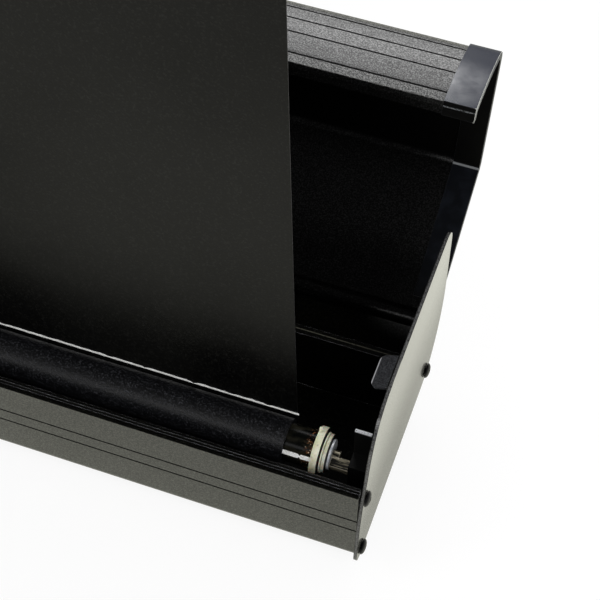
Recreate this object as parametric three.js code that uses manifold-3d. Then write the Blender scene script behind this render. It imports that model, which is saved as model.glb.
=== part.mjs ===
import * as THREE from 'three';
import { mergeVertices } from 'three/addons/utils/BufferGeometryUtils.js';
import Module from 'manifold-3d';

// A pull-up projection screen: a long floor case with its lid open and the screen raised.
// Millimetres. X runs along the case, +Y points to its back, +Z up. The origin is on the floor
// under the middle of the case. The right end is the one at +X.
// Inside the case, y is measured from the front edge of the end plates and z from their foot.

// Case
const caseLength = 1800;
const plateDepth = 169;
const plateHeight = 121;
const plateThickness = 2;
const profileWall = 1.8;
// Between pieces that seat on each other, and how far a cutting tool runs past what it cuts
const seatGap = 0.3;
const overrun = 1;

// End plates
const plateFrontCorner = 9;
const plateBelly = 2.5;
const plateBellyHeight = 55;
const plateShoulderSetback = 13;
const plateShoulderHeight = 80;
const plateTopStart = 50;
const plateRearCornerDepth = 40;
const plateRearCornerHeight = 60;
const plateTopCorner = 14;
const plateShoulderCurveShare = 0.22;
const tabStart = 48.5;
const tabWidth = 22;
const tabLength = 11;
const tabDroop = 22;
const tabCorner = 4;

// Screws that hold the end plates to the trough
const screwHeadRadius = 4.8;
const screwHeadHeight = 2.2;
const screwShankRadius = 2.1;
const screwShankLength = 16;
const screwSocketRadius = 1.9;
const screwSocketDepth = 1.2;
const screwSocketSides = 6;
const screwRimShare = 0.33;
const screwCrownShare = 0.83;
const screwCrownWidthShare = 0.75;
const screwTopWidthShare = 0.5;
const screwClearance = 0.4;
const bossWall = 2;
const screwLowFrontY = 9.5;
const screwLowFrontZ = 6.6;
const screwHighFrontY = 12;
const screwHighFrontZ = 61;
const screwRearY = 138;
const screwRearZ = 8.2;

// Trough section
const faceSetback = 4;
const faceTop = 72.2;
const lipSetback = 3;
const lipTop = 75.6;
const floorUnderside = 2;
const troughCorner = 6;
const faceGrooveHeights = [45.4, 34];
const grooveWidth = 1.3;
const grooveDepth = 0.6;
const webY = 105;
const webHeight = 60;
const webHook = 6;

// Lid hinge and lid section, drawn as it stands open
const hingeY = 158;
const hingeZ = 32;
const hingeBeadRadius = 4;
const hingeNeckWidth = 2;
const hingeRunning = 0.35;
const hingeSocketWall = 1.9;
const hingeNeckFoot = 22;
// The lid's hook leaves room for the neck of the bead over the whole swing
const hookStart = -60;
const hookEnd = 200;
const rearKneeY = 147;
const rearKneeZ = 10;
const rearFootY = 138;
const lidFloorLength = 103.5;
const lidFloorAngle = 29.6;
const lidBackLength = 85.5;
const lidBackAngle = 76.3;
const lidFaceLength = 61.5;
const lidFaceAngle = 170;
const lidFaceBow = 3.2;
const lidLipLength = 8;
const lidLipAngle = 248.4;
const lidBendRadius = 4;
const lidCornerRadius = 8;
const lidSideGap = 0.6;
const lidGrooveShares = [0.192, 0.387, 0.603, 0.888];

// Plastic trim on the ends of the lid
const capEndWall = 1.5;
const capLeaf = 1.2;
const capOuterWidth = 19.4;
const capInnerWidth = 17;
const capHingeClearance = 13;

// Roller
const rollerY = 37;
const rollerZ = 52;
const tubeRadius = 11.5;
const tubeWall = 1;
const tubeInset = 38.5;
const rollRadius = 14;
const fabricInset = 54.5;
const plugFlangeRadius = 14.5;
const plugFlangeLength = 6;
const plugSpigotLength = 22;
const plugToothSize = 2;
const plugToothTurn = 22;
const collarRadius = 11.5;
const collarLength = 2.2;
const washerRadius = 9;
const washerLength = 1.4;
const stubRadius = 3.4;
const tangDepth = 7;
const tangHeight = 4;
const tangSetback = 5;
const shaftRadius = 4;
const shaftLength = 420;
const springTurns = 16;
const springWireRadius = 0.9;
const springPitch = 14;
const springStart = 60;
const anchorLength = 14;
const gudgeonRadius = 4;

// Sheet brackets that carry the roller
const bracketSheet = 2;
const bracketReach = 13.5;
const bracketFront = 25;
const bracketRear = 49;
const bracketFoot = 30;
const bracketTop = 76;
const cradleHalf = 10;
const tongueSetback = 10;
const tongueWidth = 10;
const tongueTop = 85.6;

// Screen fabric
const fabricThickness = 0.5;
const fabricRunning = 0.3;

// Folding arms behind the fabric
const armBaseInset = 150;
const armLength = 715;
const armWidth = 25;
const armThickness = 5;
const armRaisedAngle = 68;
const armBaseHeight = 26;
const lowerArmY = 62;
const upperArmY = 70;
const armPinRadius = 4;
const armPinRunning = 0.3;
const openPivotRunning = 1;
const armPinHeadRadius = 7;
const armPinHead = 1.8;
const armCollarRadius = 9;
const baseWidth = 50;
const baseSheet = 3;
const baseFlange = 18;
const baseHeight = 42;

// Top bar
const barFrontY = 45;
const barDepth = 24;
const barHeight = 30;
const barWall = 1.8;
const barCorner = 4;
const barInnerCorner = 2;
const barOverhang = 11;
const barPinRise = 10;
const barSlot = 1.6;
const barCapLength = 4;
const barCapSpigot = 14;
const clampRodRadius = 2.4;
const gripWidth = 130;
const gripHeight = 38;
const gripThickness = 4;
const gripCorner = 10;
const gripSlotWidth = 90;
const gripSlotHeight = 20;
const gripSlotRiseShare = 0.6;
const gripFlange = 18;

// Carry handle on the front face
const handleSpan = 150;
const handleDrop = 40;
const handleRadius = 4.5;
const handleStandoff = 11;
const handleBendRadius = 14;
const handlePivotHeight = 56;
const handleGripRadius = 8;
const handleGripLength = 96;
const handleEyeRadius = 8;
const handleEyeWidth = 12;
const handlePad = 3;
const handlePadWidth = 26;
const handlePadHeight = 30;
const handlePadDrop = 4;

// Lid latches
const latchInset = 450;
const latchWidth = 34;
const latchEar = 4;
const latchBaseSheet = 1.6;
const latchPivotHeight = 48;
const latchPivotStandoff = 7;
const latchEarRadius = 5;
const latchStudRadius = 2.2;
const latchLeverSheet = 2.2;
const latchLeverHeight = 26;
const latchLeverCurl = 4;
const latchRunning = 0.5;
const latchBaseFoot = 38;
const latchBaseTop = 66;
const keeperWidth = 24;
const keeperSheet = 1.6;
const keeperHook = 5;

// Swivel feet
const footInset = 350;
const footLength = 460;
const footWidth = 40;
const footThickness = 4;
const footCorner = 10;
const footHubRadius = 15;
const footPinRadius = 5;
const footPinHeadRadius = 9;
const footPinHead = 2;
const footDrop = 4;
const footPinRunning = 0.4;
const padLength = 46;
const padHeight = 6;
const padInset = 8;
const padWidth = 32;
const padCorner = 8;
const padStem = 4;

// Finish of the round faces
const roundSteps = 24;
const smallRoundSteps = 12;
const arcSteps = 12;
const smallArcSteps = 6;
const filletSteps = 4;
const bowSteps = 6;
const handleSteps = 36;
const keeperSteps = 2;
const springSteps = 8;
const springSides = 4;

const degree = Math.PI / 180;
const half = caseLength / 2;
const troughHalf = half - plateThickness - seatGap;
const lidHalf = half - plateThickness - lidSideGap - capEndWall - seatGap;
const capHalf = half - plateThickness - lidSideGap;
const floorTop = floorUnderside + profileWall;
const fabricHalf = half - fabricInset;
const tubeHalf = half - tubeInset;
const fabricY = rollerY + rollRadius + fabricRunning;
const footTop = floorUnderside - footDrop;
const caseLift = padHeight + seatGap + footThickness - footTop;

const wasm = await Module();
wasm.setup();

// Solids: from a geometry to something that can be joined or cut, and back
function toSolid(geometry) {
  const bare = geometry.clone();
  bare.deleteAttribute('normal');
  bare.deleteAttribute('uv');
  const merged = mergeVertices(bare);
  const mesh = new wasm.Mesh({
    numProp: 3,
    vertProperties: merged.attributes.position.array,
    triVerts: Uint32Array.from(merged.index.array),
  });
  return new wasm.Manifold(mesh);
}

function toGeometry(solid) {
  const mesh = solid.getMesh();
  const geometry = new THREE.BufferGeometry();
  geometry.setAttribute('position', new THREE.BufferAttribute(mesh.vertProperties, 3));
  geometry.setIndex(new THREE.BufferAttribute(mesh.triVerts, 1));
  geometry.computeVertexNormals();
  return geometry;
}

function joined(...geometries) {
  return toGeometry(geometries.map(toSolid).reduce((whole, next) => whole.add(next)));
}

function cut(geometry, ...tools) {
  return toGeometry(tools.map(toSolid).reduce((rest, tool) => rest.subtract(tool), toSolid(geometry)));
}

// Extrusions: an outline drawn in (y, z) runs along X, one drawn in (x, z) runs along Y
const alongXBasis = new THREE.Matrix4().makeBasis(
  new THREE.Vector3(0, 1, 0), new THREE.Vector3(0, 0, 1), new THREE.Vector3(1, 0, 0));
const alongYBasis = new THREE.Matrix4().makeBasis(
  new THREE.Vector3(1, 0, 0), new THREE.Vector3(0, 0, 1), new THREE.Vector3(0, -1, 0));

function extrude(shape, depth, steps) {
  return new THREE.ExtrudeGeometry(shape, { depth, bevelEnabled: false, curveSegments: steps });
}

function alongX(shape, from, to, steps = filletSteps) {
  return extrude(shape, to - from, steps).applyMatrix4(alongXBasis).translate(from, 0, 0);
}

function alongY(shape, from, to, steps = filletSteps) {
  return extrude(shape, to - from, steps).applyMatrix4(alongYBasis).translate(0, to, 0);
}

function alongZ(shape, from, to, steps = filletSteps) {
  return extrude(shape, to - from, steps).translate(0, 0, from);
}

function block(fromX, toX, fromY, toY, fromZ, toZ) {
  const box = new THREE.BoxGeometry(toX - fromX, toY - fromY, toZ - fromZ);
  return box.translate((fromX + toX) / 2, (fromY + toY) / 2, (fromZ + toZ) / 2);
}

// Round pieces: a profile of [radius, place] pairs turned about an axis along X, Y or Z
function turned(profile, axis, steps = smallRoundSteps) {
  const lathe = new THREE.LatheGeometry(profile.map(([r, at]) => new THREE.Vector2(r, at)), steps);
  if (axis === 'x') return lathe.rotateZ(-Math.PI / 2);
  if (axis === 'z') return lathe.rotateX(Math.PI / 2);
  return lathe;
}

function rodX(radius, from, to, y, z, steps = smallRoundSteps) {
  return turned([[0, from], [radius, from], [radius, to], [0, to]], 'x', steps).translate(0, y, z);
}

function rodY(radius, from, to, x, z, steps = smallRoundSteps) {
  return turned([[0, from], [radius, from], [radius, to], [0, to]], 'y', steps).translate(x, 0, z);
}

function rodZ(radius, from, to, x, y, steps = smallRoundSteps) {
  return turned([[0, from], [radius, from], [radius, to], [0, to]], 'z', steps).translate(x, y, 0);
}

// Outlines
function at(y, z) {
  return new THREE.Vector2(y, z);
}

function walk(point, length, angle) {
  return at(point.x + length * Math.cos(angle * degree), point.y + length * Math.sin(angle * degree));
}

function roundedRectangle(x0, y0, x1, y1, radius) {
  const shape = new THREE.Shape();
  shape.moveTo(x0 + radius, y0);
  shape.lineTo(x1 - radius, y0);
  shape.absarc(x1 - radius, y0 + radius, radius, -Math.PI / 2, 0, false);
  shape.lineTo(x1, y1 - radius);
  shape.absarc(x1 - radius, y1 - radius, radius, 0, Math.PI / 2, false);
  shape.lineTo(x0 + radius, y1);
  shape.absarc(x0 + radius, y1 - radius, radius, Math.PI / 2, Math.PI, false);
  shape.lineTo(x0, y0 + radius);
  shape.absarc(x0 + radius, y0 + radius, radius, Math.PI, 1.5 * Math.PI, false);
  return shape;
}

function ringShape(y, z, outer, inner) {
  const shape = new THREE.Shape();
  shape.absarc(y, z, outer, 0, 2 * Math.PI, false);
  const bore = new THREE.Path();
  bore.absarc(y, z, inner, 0, 2 * Math.PI, true);
  shape.holes.push(bore);
  return shape;
}

// Rounds one corner of a path with a smooth bend that starts and ends a radius away from it
function bend(before, corner, after, radius) {
  const start = corner.clone().add(before.clone().sub(corner).setLength(radius));
  const end = corner.clone().add(after.clone().sub(corner).setLength(radius));
  return new THREE.QuadraticBezierCurve(start, corner, end).getPoints(filletSteps);
}

// A path moved sideways to its left by a distance, keeping its corners sharp
function offsetPath(points, distance) {
  return points.map((point, i) => {
    const into = point.clone().sub(points[Math.max(i - 1, 0)]);
    const out = points[Math.min(i + 1, points.length - 1)].clone().sub(point);
    const first = (into.lengthSq() ? into : out).normalize();
    const second = (out.lengthSq() ? out : first.clone()).normalize();
    const miter = at(-first.y - second.y, first.x + second.x);
    const stretch = 2 * distance / miter.lengthSq();
    return point.clone().addScaledVector(miter, stretch);
  });
}

// The closed outline of a bent sheet between two distances to the left of a path
function band(points, near, far) {
  return new THREE.Shape([...offsetPath(points, near), ...offsetPath(points, far).reverse()]);
}

// Finishes
function finish(color, roughness, metalness) {
  return new THREE.MeshStandardMaterial({ color, roughness, metalness });
}
const powderGrey = () => finish(0x5a5c56, 0.6, 0.1);
const satinBlack = () => finish(0x111213, 0.45, 0.1);
const ivoryPlastic = () => finish(0xd5cfae, 0.45, 0);
const brightSteel = () => finish(0xa8a49a, 0.3, 1);
const blackScrew = () => finish(0x0b0b0b, 0.4, 0.6);
const paintedSteel = () => finish(0x17181a, 0.5, 0.4);
const blackFabric = () => finish(0x131313, 0.75, 0);
const blackRubber = () => finish(0x0d0d0d, 0.85, 0);
const blackPlastic = () => finish(0x161718, 0.4, 0);

const screen = new THREE.Group();
const inCase = new THREE.Group();
inCase.position.set(0, -plateDepth / 2, caseLift);
screen.add(inCase);

function piece(name, geometry, material, parent = inCase) {
  const mesh = new THREE.Mesh(geometry, material);
  mesh.name = name;
  parent.add(mesh);
  return mesh;
}

// Both ends: side is 1 at the right end and -1 at the left one
const ends = [['right', 1], ['left', -1]];

function mirrored(geometry, side) {
  if (side > 0) return geometry;
  const flipped = geometry.clone().scale(-1, 1, 1);
  const soup = flipped.index ? flipped.toNonIndexed() : flipped;
  const place = soup.attributes.position;
  const corner = new THREE.Vector3();
  const other = new THREE.Vector3();
  for (let i = 0; i < place.count; i += 3) {
    corner.fromBufferAttribute(place, i + 1);
    other.fromBufferAttribute(place, i + 2);
    place.setXYZ(i + 1, other.x, other.y, other.z);
    place.setXYZ(i + 2, corner.x, corner.y, corner.z);
  }
  soup.computeVertexNormals();
  return soup;
}

const screwPlaces = [
  [screwLowFrontY, screwLowFrontZ], [screwHighFrontY, screwHighFrontZ], [screwRearY, screwRearZ]];

// Trough: one extrusion with its front wall, floor, inner web, hinge bead and screw bosses
function troughOuterPath() {
  const front = faceSetback;
  const corner = bend(at(front, faceTop), at(front, floorUnderside), at(rearFootY, floorUnderside),
    troughCorner);
  return [
    at(front + lipSetback, lipTop), at(front + lipSetback, faceTop), at(front, faceTop), ...corner,
    at(rearFootY, floorUnderside), at(rearKneeY, rearKneeZ), at(hingeY + hingeNeckWidth / 2, hingeNeckFoot),
    at(hingeY + hingeNeckWidth / 2, hingeZ)];
}

function grooveCut(from, to) {
  return alongX(band([from, to], -overrun, grooveDepth), -half, half);
}

function trough() {
  const run = shape => alongX(shape, -troughHalf, troughHalf);
  const boss = screwShankRadius + screwClearance;
  const walls = [
    run(band(troughOuterPath(), 0, profileWall)),
    run(band([at(webY + profileWall, floorTop - profileWall / 2), at(webY + profileWall, webHeight)],
      0, profileWall)),
    run(band([at(webY, webHeight), at(webY + webHook, webHeight)], -profileWall, 0)),
    rodX(hingeBeadRadius, -troughHalf, troughHalf, hingeY, hingeZ),
    ...screwPlaces.map(([y, z]) => rodX(boss + bossWall, -troughHalf, troughHalf, y, z)),
    block(-troughHalf, troughHalf, faceSetback + profileWall / 2, screwHighFrontY,
      screwHighFrontZ - profileWall / 2, screwHighFrontZ + profileWall / 2),
  ];
  const bores = screwPlaces.map(([y, z]) => rodX(boss, -half, half, y, z));
  const grooves = faceGrooveHeights.map(z =>
    grooveCut(at(faceSetback, z + grooveWidth / 2), at(faceSetback, z - grooveWidth / 2)));
  const footHoles = ends.map(([, side]) => rodZ(footPinRadius + footPinRunning, floorUnderside - overrun,
    floorTop + overrun, side * (half - footInset), plateDepth / 2));
  return cut(joined(...walls), ...bores, ...grooves, ...footHoles);
}
piece('case_trough', trough(), powderGrey());

// End plates with the bent tab that the closed lid rests on
function endPlateShape() {
  const shape = new THREE.Shape();
  shape.moveTo(plateFrontCorner, 0);
  shape.lineTo(plateDepth - plateRearCornerDepth, 0);
  shape.absellipse(plateDepth - plateRearCornerDepth, plateRearCornerHeight, plateRearCornerDepth,
    plateRearCornerHeight, -Math.PI / 2, 0, false, 0);
  shape.lineTo(plateDepth, plateHeight - plateTopCorner);
  shape.absarc(plateDepth - plateTopCorner, plateHeight - plateTopCorner, plateTopCorner, 0,
    Math.PI / 2, false);
  shape.lineTo(plateTopStart, plateHeight);
  shape.quadraticCurveTo(plateShoulderSetback + (plateTopStart - plateShoulderSetback)
    * plateShoulderCurveShare, plateHeight, plateShoulderSetback, plateShoulderHeight);
  shape.quadraticCurveTo(plateBelly, plateBellyHeight, 0, plateFrontCorner);
  shape.quadraticCurveTo(0, 0, plateFrontCorner, 0);
  return shape;
}

function plateTab() {
  const outline = roundedRectangle(-tabLength, tabStart, plateThickness, tabStart + tabWidth, tabCorner);
  const tab = alongZ(outline, -plateThickness, 0).rotateY(-tabDroop * degree);
  return tab.translate(half - plateThickness, 0, plateHeight);
}

function endPlate(side) {
  const sheet = alongX(endPlateShape(), half - plateThickness, half, arcSteps);
  const holes = screwPlaces.map(([y, z]) =>
    rodX(screwShankRadius + screwClearance, half - plateThickness - overrun, half + overrun, y, z));
  const trimmed = cut(plateTab(), block(half, half + tabLength, 0, plateDepth, 0, 2 * plateHeight));
  return mirrored(cut(joined(sheet, trimmed), ...holes), side);
}

function plateScrew(side, y, z) {
  const head = screwHeadRadius;
  const top = seatGap + screwHeadHeight;
  const profile = [
    [0, -screwShankLength], [screwShankRadius, -screwShankLength], [screwShankRadius, seatGap],
    [head, seatGap], [head, seatGap + screwHeadHeight * screwRimShare],
    [head * screwCrownWidthShare, seatGap + screwHeadHeight * screwCrownShare],
    [head * screwTopWidthShare, top], [0, top]];
  const socket = new THREE.CylinderGeometry(screwSocketRadius, screwSocketRadius,
    2 * screwSocketDepth, screwSocketSides).rotateZ(Math.PI / 2).translate(top, 0, 0);
  return mirrored(cut(turned(profile, 'x'), socket).translate(half, y, z), side);
}

for (const [end, side] of ends) {
  piece(`end_plate_${end}`, endPlate(side), satinBlack());
  screwPlaces.forEach(([y, z], i) =>
    piece(`plate_screw_${end}_${i + 1}`, plateScrew(side, y, z), blackScrew()));
}

// Lid: one bent and grooved panel that ends in a hook round the hinge bead
const hinge = at(hingeY, hingeZ);
const lidBend = walk(hinge, lidFloorLength, lidFloorAngle);
const lidCorner = walk(lidBend, lidBackLength, lidBackAngle);
const lidEdge = walk(lidCorner, lidFaceLength, lidFaceAngle);
const lidLip = walk(lidEdge, lidLipLength, lidLipAngle);

function lidFacePoint(share) {
  const onChord = lidCorner.clone().lerp(lidEdge, share);
  const bow = 4 * share * (1 - share) * lidFaceBow;
  return walk(onChord, bow, lidFaceAngle - 90);
}

function lidPath(start) {
  const face = [];
  for (let i = 1; i <= bowSteps; i += 1) face.push(lidFacePoint(i / bowSteps));
  return [
    walk(hinge, start, lidFloorAngle), ...bend(hinge, lidBend, lidCorner, lidBendRadius),
    ...bend(lidBend, lidCorner, face[0], lidCornerRadius), ...face, lidLip];
}

function hingeHook() {
  const inner = hingeBeadRadius + hingeRunning;
  const outer = inner + hingeSocketWall;
  const shape = new THREE.Shape();
  shape.absarc(hingeY, hingeZ, outer, hookStart * degree, hookEnd * degree, false);
  shape.absarc(hingeY, hingeZ, inner, hookEnd * degree, hookStart * degree, true);
  shape.closePath();
  return shape;
}

function lidPanel() {
  const start = hingeBeadRadius + hingeRunning + hingeSocketWall / 2;
  const sheet = alongX(band(lidPath(start), 0, profileWall), -lidHalf, lidHalf);
  const hook = alongX(hingeHook(), -lidHalf, lidHalf, smallRoundSteps);
  const shareWidth = grooveWidth / lidFaceLength;
  const grooves = lidGrooveShares.map(share =>
    grooveCut(lidFacePoint(share - shareWidth / 2), lidFacePoint(share + shareWidth / 2)));
  return cut(joined(sheet, hook), ...grooves);
}
piece('lid_panel', lidPanel(), powderGrey());

function lidCap(side) {
  const path = lidPath(capHingeClearance);
  const outside = -seatGap - capLeaf;
  const inside = profileWall + seatGap + capLeaf;
  const wide = alongX(band(path, outside, 0), capHalf - capOuterWidth, capHalf);
  const narrow = alongX(band(path, outside, inside), capHalf - capInnerWidth, capHalf);
  const slot = alongX(band(lidPath(capHingeClearance - overrun), -seatGap, profileWall + seatGap),
    capHalf - 2 * capOuterWidth, capHalf - capEndWall);
  return mirrored(cut(joined(wide, narrow), slot), side);
}

// Hooks near the front edge of the lid that the latches pull on
function latchKeeper(side) {
  const leaf = [];
  for (let i = bowSteps - keeperSteps; i <= bowSteps; i += 1) leaf.push(lidFacePoint(i / bowSteps));
  const below = seatGap + keeperSheet;
  const x = side * (half - latchInset);
  const run = shape => alongX(shape, x - keeperWidth / 2, x + keeperWidth / 2);
  const hook = walk(leaf[0], seatGap + keeperSheet / 2, lidFaceAngle - 90);
  return joined(run(band(leaf, -below, -seatGap)),
    run(band([hook, walk(hook, keeperHook, lidFaceAngle - 90)], 0, keeperSheet)));
}

for (const [end, side] of ends) {
  piece(`lid_end_cap_${end}`, lidCap(side), blackPlastic());
  piece(`latch_keeper_${end}`, latchKeeper(side), brightSteel());
}

// Roller: a tube that carries the rolled-up fabric, with a plug in each end
piece('roller_tube', alongX(ringShape(rollerY, rollerZ, tubeRadius, tubeRadius - tubeWall),
  -tubeHalf, tubeHalf, arcSteps), brightSteel());
piece('fabric_roll', alongX(ringShape(rollerY, rollerZ, rollRadius, tubeRadius + seatGap),
  -fabricHalf, fabricHalf, arcSteps), blackFabric());

const plugFace = tubeHalf + seatGap + plugFlangeLength;

function plugProfile(bore) {
  const spigot = tubeRadius - tubeWall - seatGap;
  const start = tubeHalf - plugSpigotLength;
  return [
    [bore, start], [spigot, start], [spigot, tubeHalf + seatGap], [plugFlangeRadius, tubeHalf + seatGap],
    [plugFlangeRadius, plugFace], [bore, plugFace], [bore, start]];
}

function rightPlug() {
  const body = turned(plugProfile(shaftRadius + seatGap), 'x', roundSteps);
  const tooth = block(plugFace - plugFlangeLength, plugFace - plugFlangeLength + plugToothSize,
    -plugToothSize / 2, plugToothSize / 2, plugFlangeRadius - overrun, plugFlangeRadius + plugToothSize);
  return joined(body, tooth.rotateX(-plugToothTurn * degree)).translate(0, rollerY, rollerZ);
}
piece('roller_plug_right', rightPlug(), ivoryPlastic());

const bracketInner = half - plateThickness - seatGap - bracketReach;

function leftPlug() {
  const end = half - plateThickness - 2 * seatGap;
  const body = turned([
    [0, tubeHalf - plugSpigotLength], ...plugProfile(0).slice(1, 5), [gudgeonRadius, plugFace],
    [gudgeonRadius, end], [0, end]], 'x', roundSteps);
  return mirrored(body, -1).translate(0, rollerY, rollerZ);
}
piece('roller_plug_left', leftPlug(), ivoryPlastic());

function disc(outer, inner, from, length) {
  return alongX(ringShape(rollerY, rollerZ, outer, inner), from, from + length, arcSteps);
}
const collarStart = plugFace + seatGap;
const washerStart = collarStart + collarLength + seatGap;
const stubBore = stubRadius + seatGap;
piece('tang_collar', disc(collarRadius, stubBore, collarStart, collarLength), ivoryPlastic());
piece('tang_washer', disc(washerRadius, stubBore, washerStart, washerLength), brightSteel());

// The tang is a flat bar set forward of the roller's axis, with a round stub that carries the washers
const tangStart = washerStart + washerLength + seatGap;
const tangEnd = half - plateThickness - 2 * seatGap;
const tangRear = rollerY - tangSetback + tangDepth / 2;

function tangBar(from, to, gap) {
  return block(from, to, tangRear - tangDepth - gap, tangRear + gap, rollerZ - tangHeight / 2 - gap,
    rollerZ + tangHeight / 2 + gap);
}
piece('roller_tang', joined(tangBar(tangStart, tangEnd, 0),
  rodX(stubRadius, collarStart, tangStart + tangHeight, rollerY, rollerZ)), brightSteel());
piece('spring_shaft', rodX(shaftRadius, plugFace - shaftLength, plugFace, rollerY, rollerZ), brightSteel());

// The wound spring that pulls the fabric back onto the roller: its flats lie just off the shaft
const springRadius = (shaftRadius + seatGap + springWireRadius) / Math.cos(Math.PI / springSteps);

class SpringLine extends THREE.Curve {
  getPoint(share, target = new THREE.Vector3()) {
    const turn = 2 * Math.PI * springTurns * share;
    const along = tubeHalf - springStart - springTurns * springPitch * share;
    return target.set(along, rollerY + springRadius * Math.cos(turn),
      rollerZ + springRadius * Math.sin(turn));
  }
}

function wireSection(radius, sides) {
  const points = [];
  for (let i = 0; i < sides; i += 1) {
    const turn = 2 * Math.PI * i / sides;
    points.push(at(radius * Math.cos(turn), radius * Math.sin(turn)));
  }
  return new THREE.Shape(points);
}

piece('torsion_spring', new THREE.ExtrudeGeometry(wireSection(springWireRadius, springSides), {
  extrudePath: new SpringLine(), steps: springTurns * springSteps, bevelEnabled: false,
}), brightSteel());
console.log('spring: gap between turns', springPitch - 2 * springWireRadius);

const anchorStart = tubeHalf - springStart - springTurns * springPitch - springPitch - anchorLength;
piece('spring_anchor', alongX(ringShape(rollerY, rollerZ, tubeRadius - tubeWall - seatGap,
  shaftRadius + seatGap), anchorStart, anchorStart + anchorLength, smallArcSteps), ivoryPlastic());

// Sheet brackets on the inside of the end plates, with a slot for the tang or a hole for the stud
function rollerBracket(side) {
  const back = half - plateThickness - seatGap;
  const sheetFace = back - bracketSheet;
  const body = joined(
    block(sheetFace, back, bracketFront, bracketRear, bracketFoot, bracketTop),
    block(bracketInner, back - bracketSheet / 2, rollerY - cradleHalf, rollerY + cradleHalf,
      rollerZ - cradleHalf, rollerZ + cradleHalf),
    block(bracketInner, bracketInner + tongueWidth, bracketRear - tongueSetback - bracketSheet,
      bracketRear - tongueSetback, rollerZ, tongueTop));
  const reach = 2 * bracketReach;
  const seat = side > 0
    ? tangBar(back - reach, tangEnd + seatGap, seatGap)
    : rodX(gudgeonRadius + seatGap, back - reach, back + overrun, rollerY, rollerZ);
  return mirrored(cut(body, seat), side);
}
for (const [end, side] of ends) piece(`roller_bracket_${end}`, rollerBracket(side), satinBlack());

// Folding arms: two knee arms that stand in line with their own base, one at each side
const barBottom = armBaseHeight + 2 * armLength * Math.sin(armRaisedAngle * degree) - barPinRise;

function armShape(bottomHole, topHole) {
  const radius = armWidth / 2;
  const shape = new THREE.Shape();
  shape.absarc(0, 0, radius, Math.PI / 2, 1.5 * Math.PI, false);
  shape.absarc(armLength, 0, radius, -Math.PI / 2, Math.PI / 2, false);
  shape.closePath();
  for (const [x, hole] of [[0, bottomHole], [armLength, topHole]]) {
    const path = new THREE.Path();
    path.absarc(x, 0, hole, 0, 2 * Math.PI, true);
    shape.holes.push(path);
  }
  return shape;
}

// A headed pin along Y; a collar, given by its two faces, keeps the pieces on it apart
function armPin(front, rear, ...collar) {
  const r = armPinRadius;
  const head = armPinHeadRadius;
  const [from, to] = collar;
  const middle = collar.length
    ? [[r, from], [armCollarRadius, from], [armCollarRadius, to], [r, to]] : [];
  return turned([
    [0, front - armPinHead], [head, front - armPinHead], [head, front], [r, front], ...middle,
    [r, rear], [head, rear], [head, rear + armPinHead], [0, rear + armPinHead]], 'y');
}

for (const [end, side] of ends) {
  const base = new THREE.Group();
  base.position.set(side * (half - armBaseInset), 0, armBaseHeight);
  inCase.add(base);
  const lowerTurn = side > 0 ? Math.PI + armRaisedAngle * degree : -armRaisedAngle * degree;
  const upperTurn = side > 0 ? -armRaisedAngle * degree : Math.PI + armRaisedAngle * degree;
  const hole = armPinRadius + armPinRunning;
  const topHole = side > 0 ? hole : armPinRadius + openPivotRunning;

  const lower = alongY(armShape(hole, hole), lowerArmY, lowerArmY + armThickness, smallArcSteps);
  piece(`lower_arm_${end}`, lower, paintedSteel(), base).rotation.y = lowerTurn;

  const knee = new THREE.Group();
  knee.position.set(-side * armLength * Math.cos(armRaisedAngle * degree), 0,
    armLength * Math.sin(armRaisedAngle * degree));
  base.add(knee);
  const upper = alongY(armShape(hole, topHole), upperArmY, upperArmY + armThickness, smallArcSteps);
  piece(`upper_arm_${end}`, upper, paintedSteel(), knee).rotation.y = upperTurn;
  piece(`knee_pin_${end}`, armPin(lowerArmY - seatGap, upperArmY + armThickness + seatGap,
    lowerArmY + armThickness + seatGap, upperArmY - seatGap), brightSteel(), knee);

  const top = new THREE.Group();
  top.position.set(0, 0, 2 * armLength * Math.sin(armRaisedAngle * degree));
  base.add(top);
  const barRear = barFrontY + barDepth;
  piece(`top_pin_${end}`, armPin(barRear - barWall - seatGap, upperArmY + armThickness + seatGap,
    barRear + seatGap, upperArmY - seatGap), brightSteel(), top);

  // The base is a channel on the floor of the trough, with the arm between its cheeks
  const baseFrontY = lowerArmY - seatGap - baseSheet;
  const baseRearY = lowerArmY + armThickness + seatGap;
  const halfBase = baseWidth / 2;
  const foot = floorTop + seatGap - armBaseHeight;
  const cheeks = baseHeight - armBaseHeight;
  const channel = joined(
    block(-halfBase, halfBase, baseFrontY, baseRearY + baseFlange, foot, foot + baseSheet),
    block(-halfBase, halfBase, baseFrontY, baseFrontY + baseSheet, foot, cheeks),
    block(-halfBase, halfBase, baseRearY, baseRearY + baseSheet, foot, cheeks));
  piece(`arm_base_${end}`, cut(channel, rodY(hole, 0, plateDepth, 0, 0)), paintedSteel(), base);
  piece(`base_pin_${end}`, armPin(baseFrontY - seatGap, baseRearY + baseSheet + seatGap), brightSteel(),
    base);
}

// Top bar: a slotted box section that clamps the upper edge of the fabric round a rod
const barHalf = fabricHalf + barOverhang;

function topBarShape() {
  return roundedRectangle(barFrontY, barBottom, barFrontY + barDepth, barBottom + barHeight, barCorner);
}

function topBar() {
  const hollow = roundedRectangle(barFrontY + barWall, barBottom + barWall, barFrontY + barDepth - barWall,
    barBottom + barHeight - barWall, barInnerCorner);
  const pinHoles = ends.map(([, side]) => rodY(armPinRadius + armPinRunning,
    barFrontY + barDepth - barWall - overrun, barFrontY + barDepth + overrun,
    side * (half - armBaseInset), barBottom + barPinRise));
  const slotY = fabricY + fabricThickness / 2;
  return cut(alongX(topBarShape(), -barHalf, barHalf), alongX(hollow, -half, half), ...pinHoles,
    block(-half, half, slotY - barSlot / 2, slotY + barSlot / 2, barBottom - overrun,
      barBottom + barWall + overrun));
}
piece('top_bar', topBar(), powderGrey());

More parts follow.
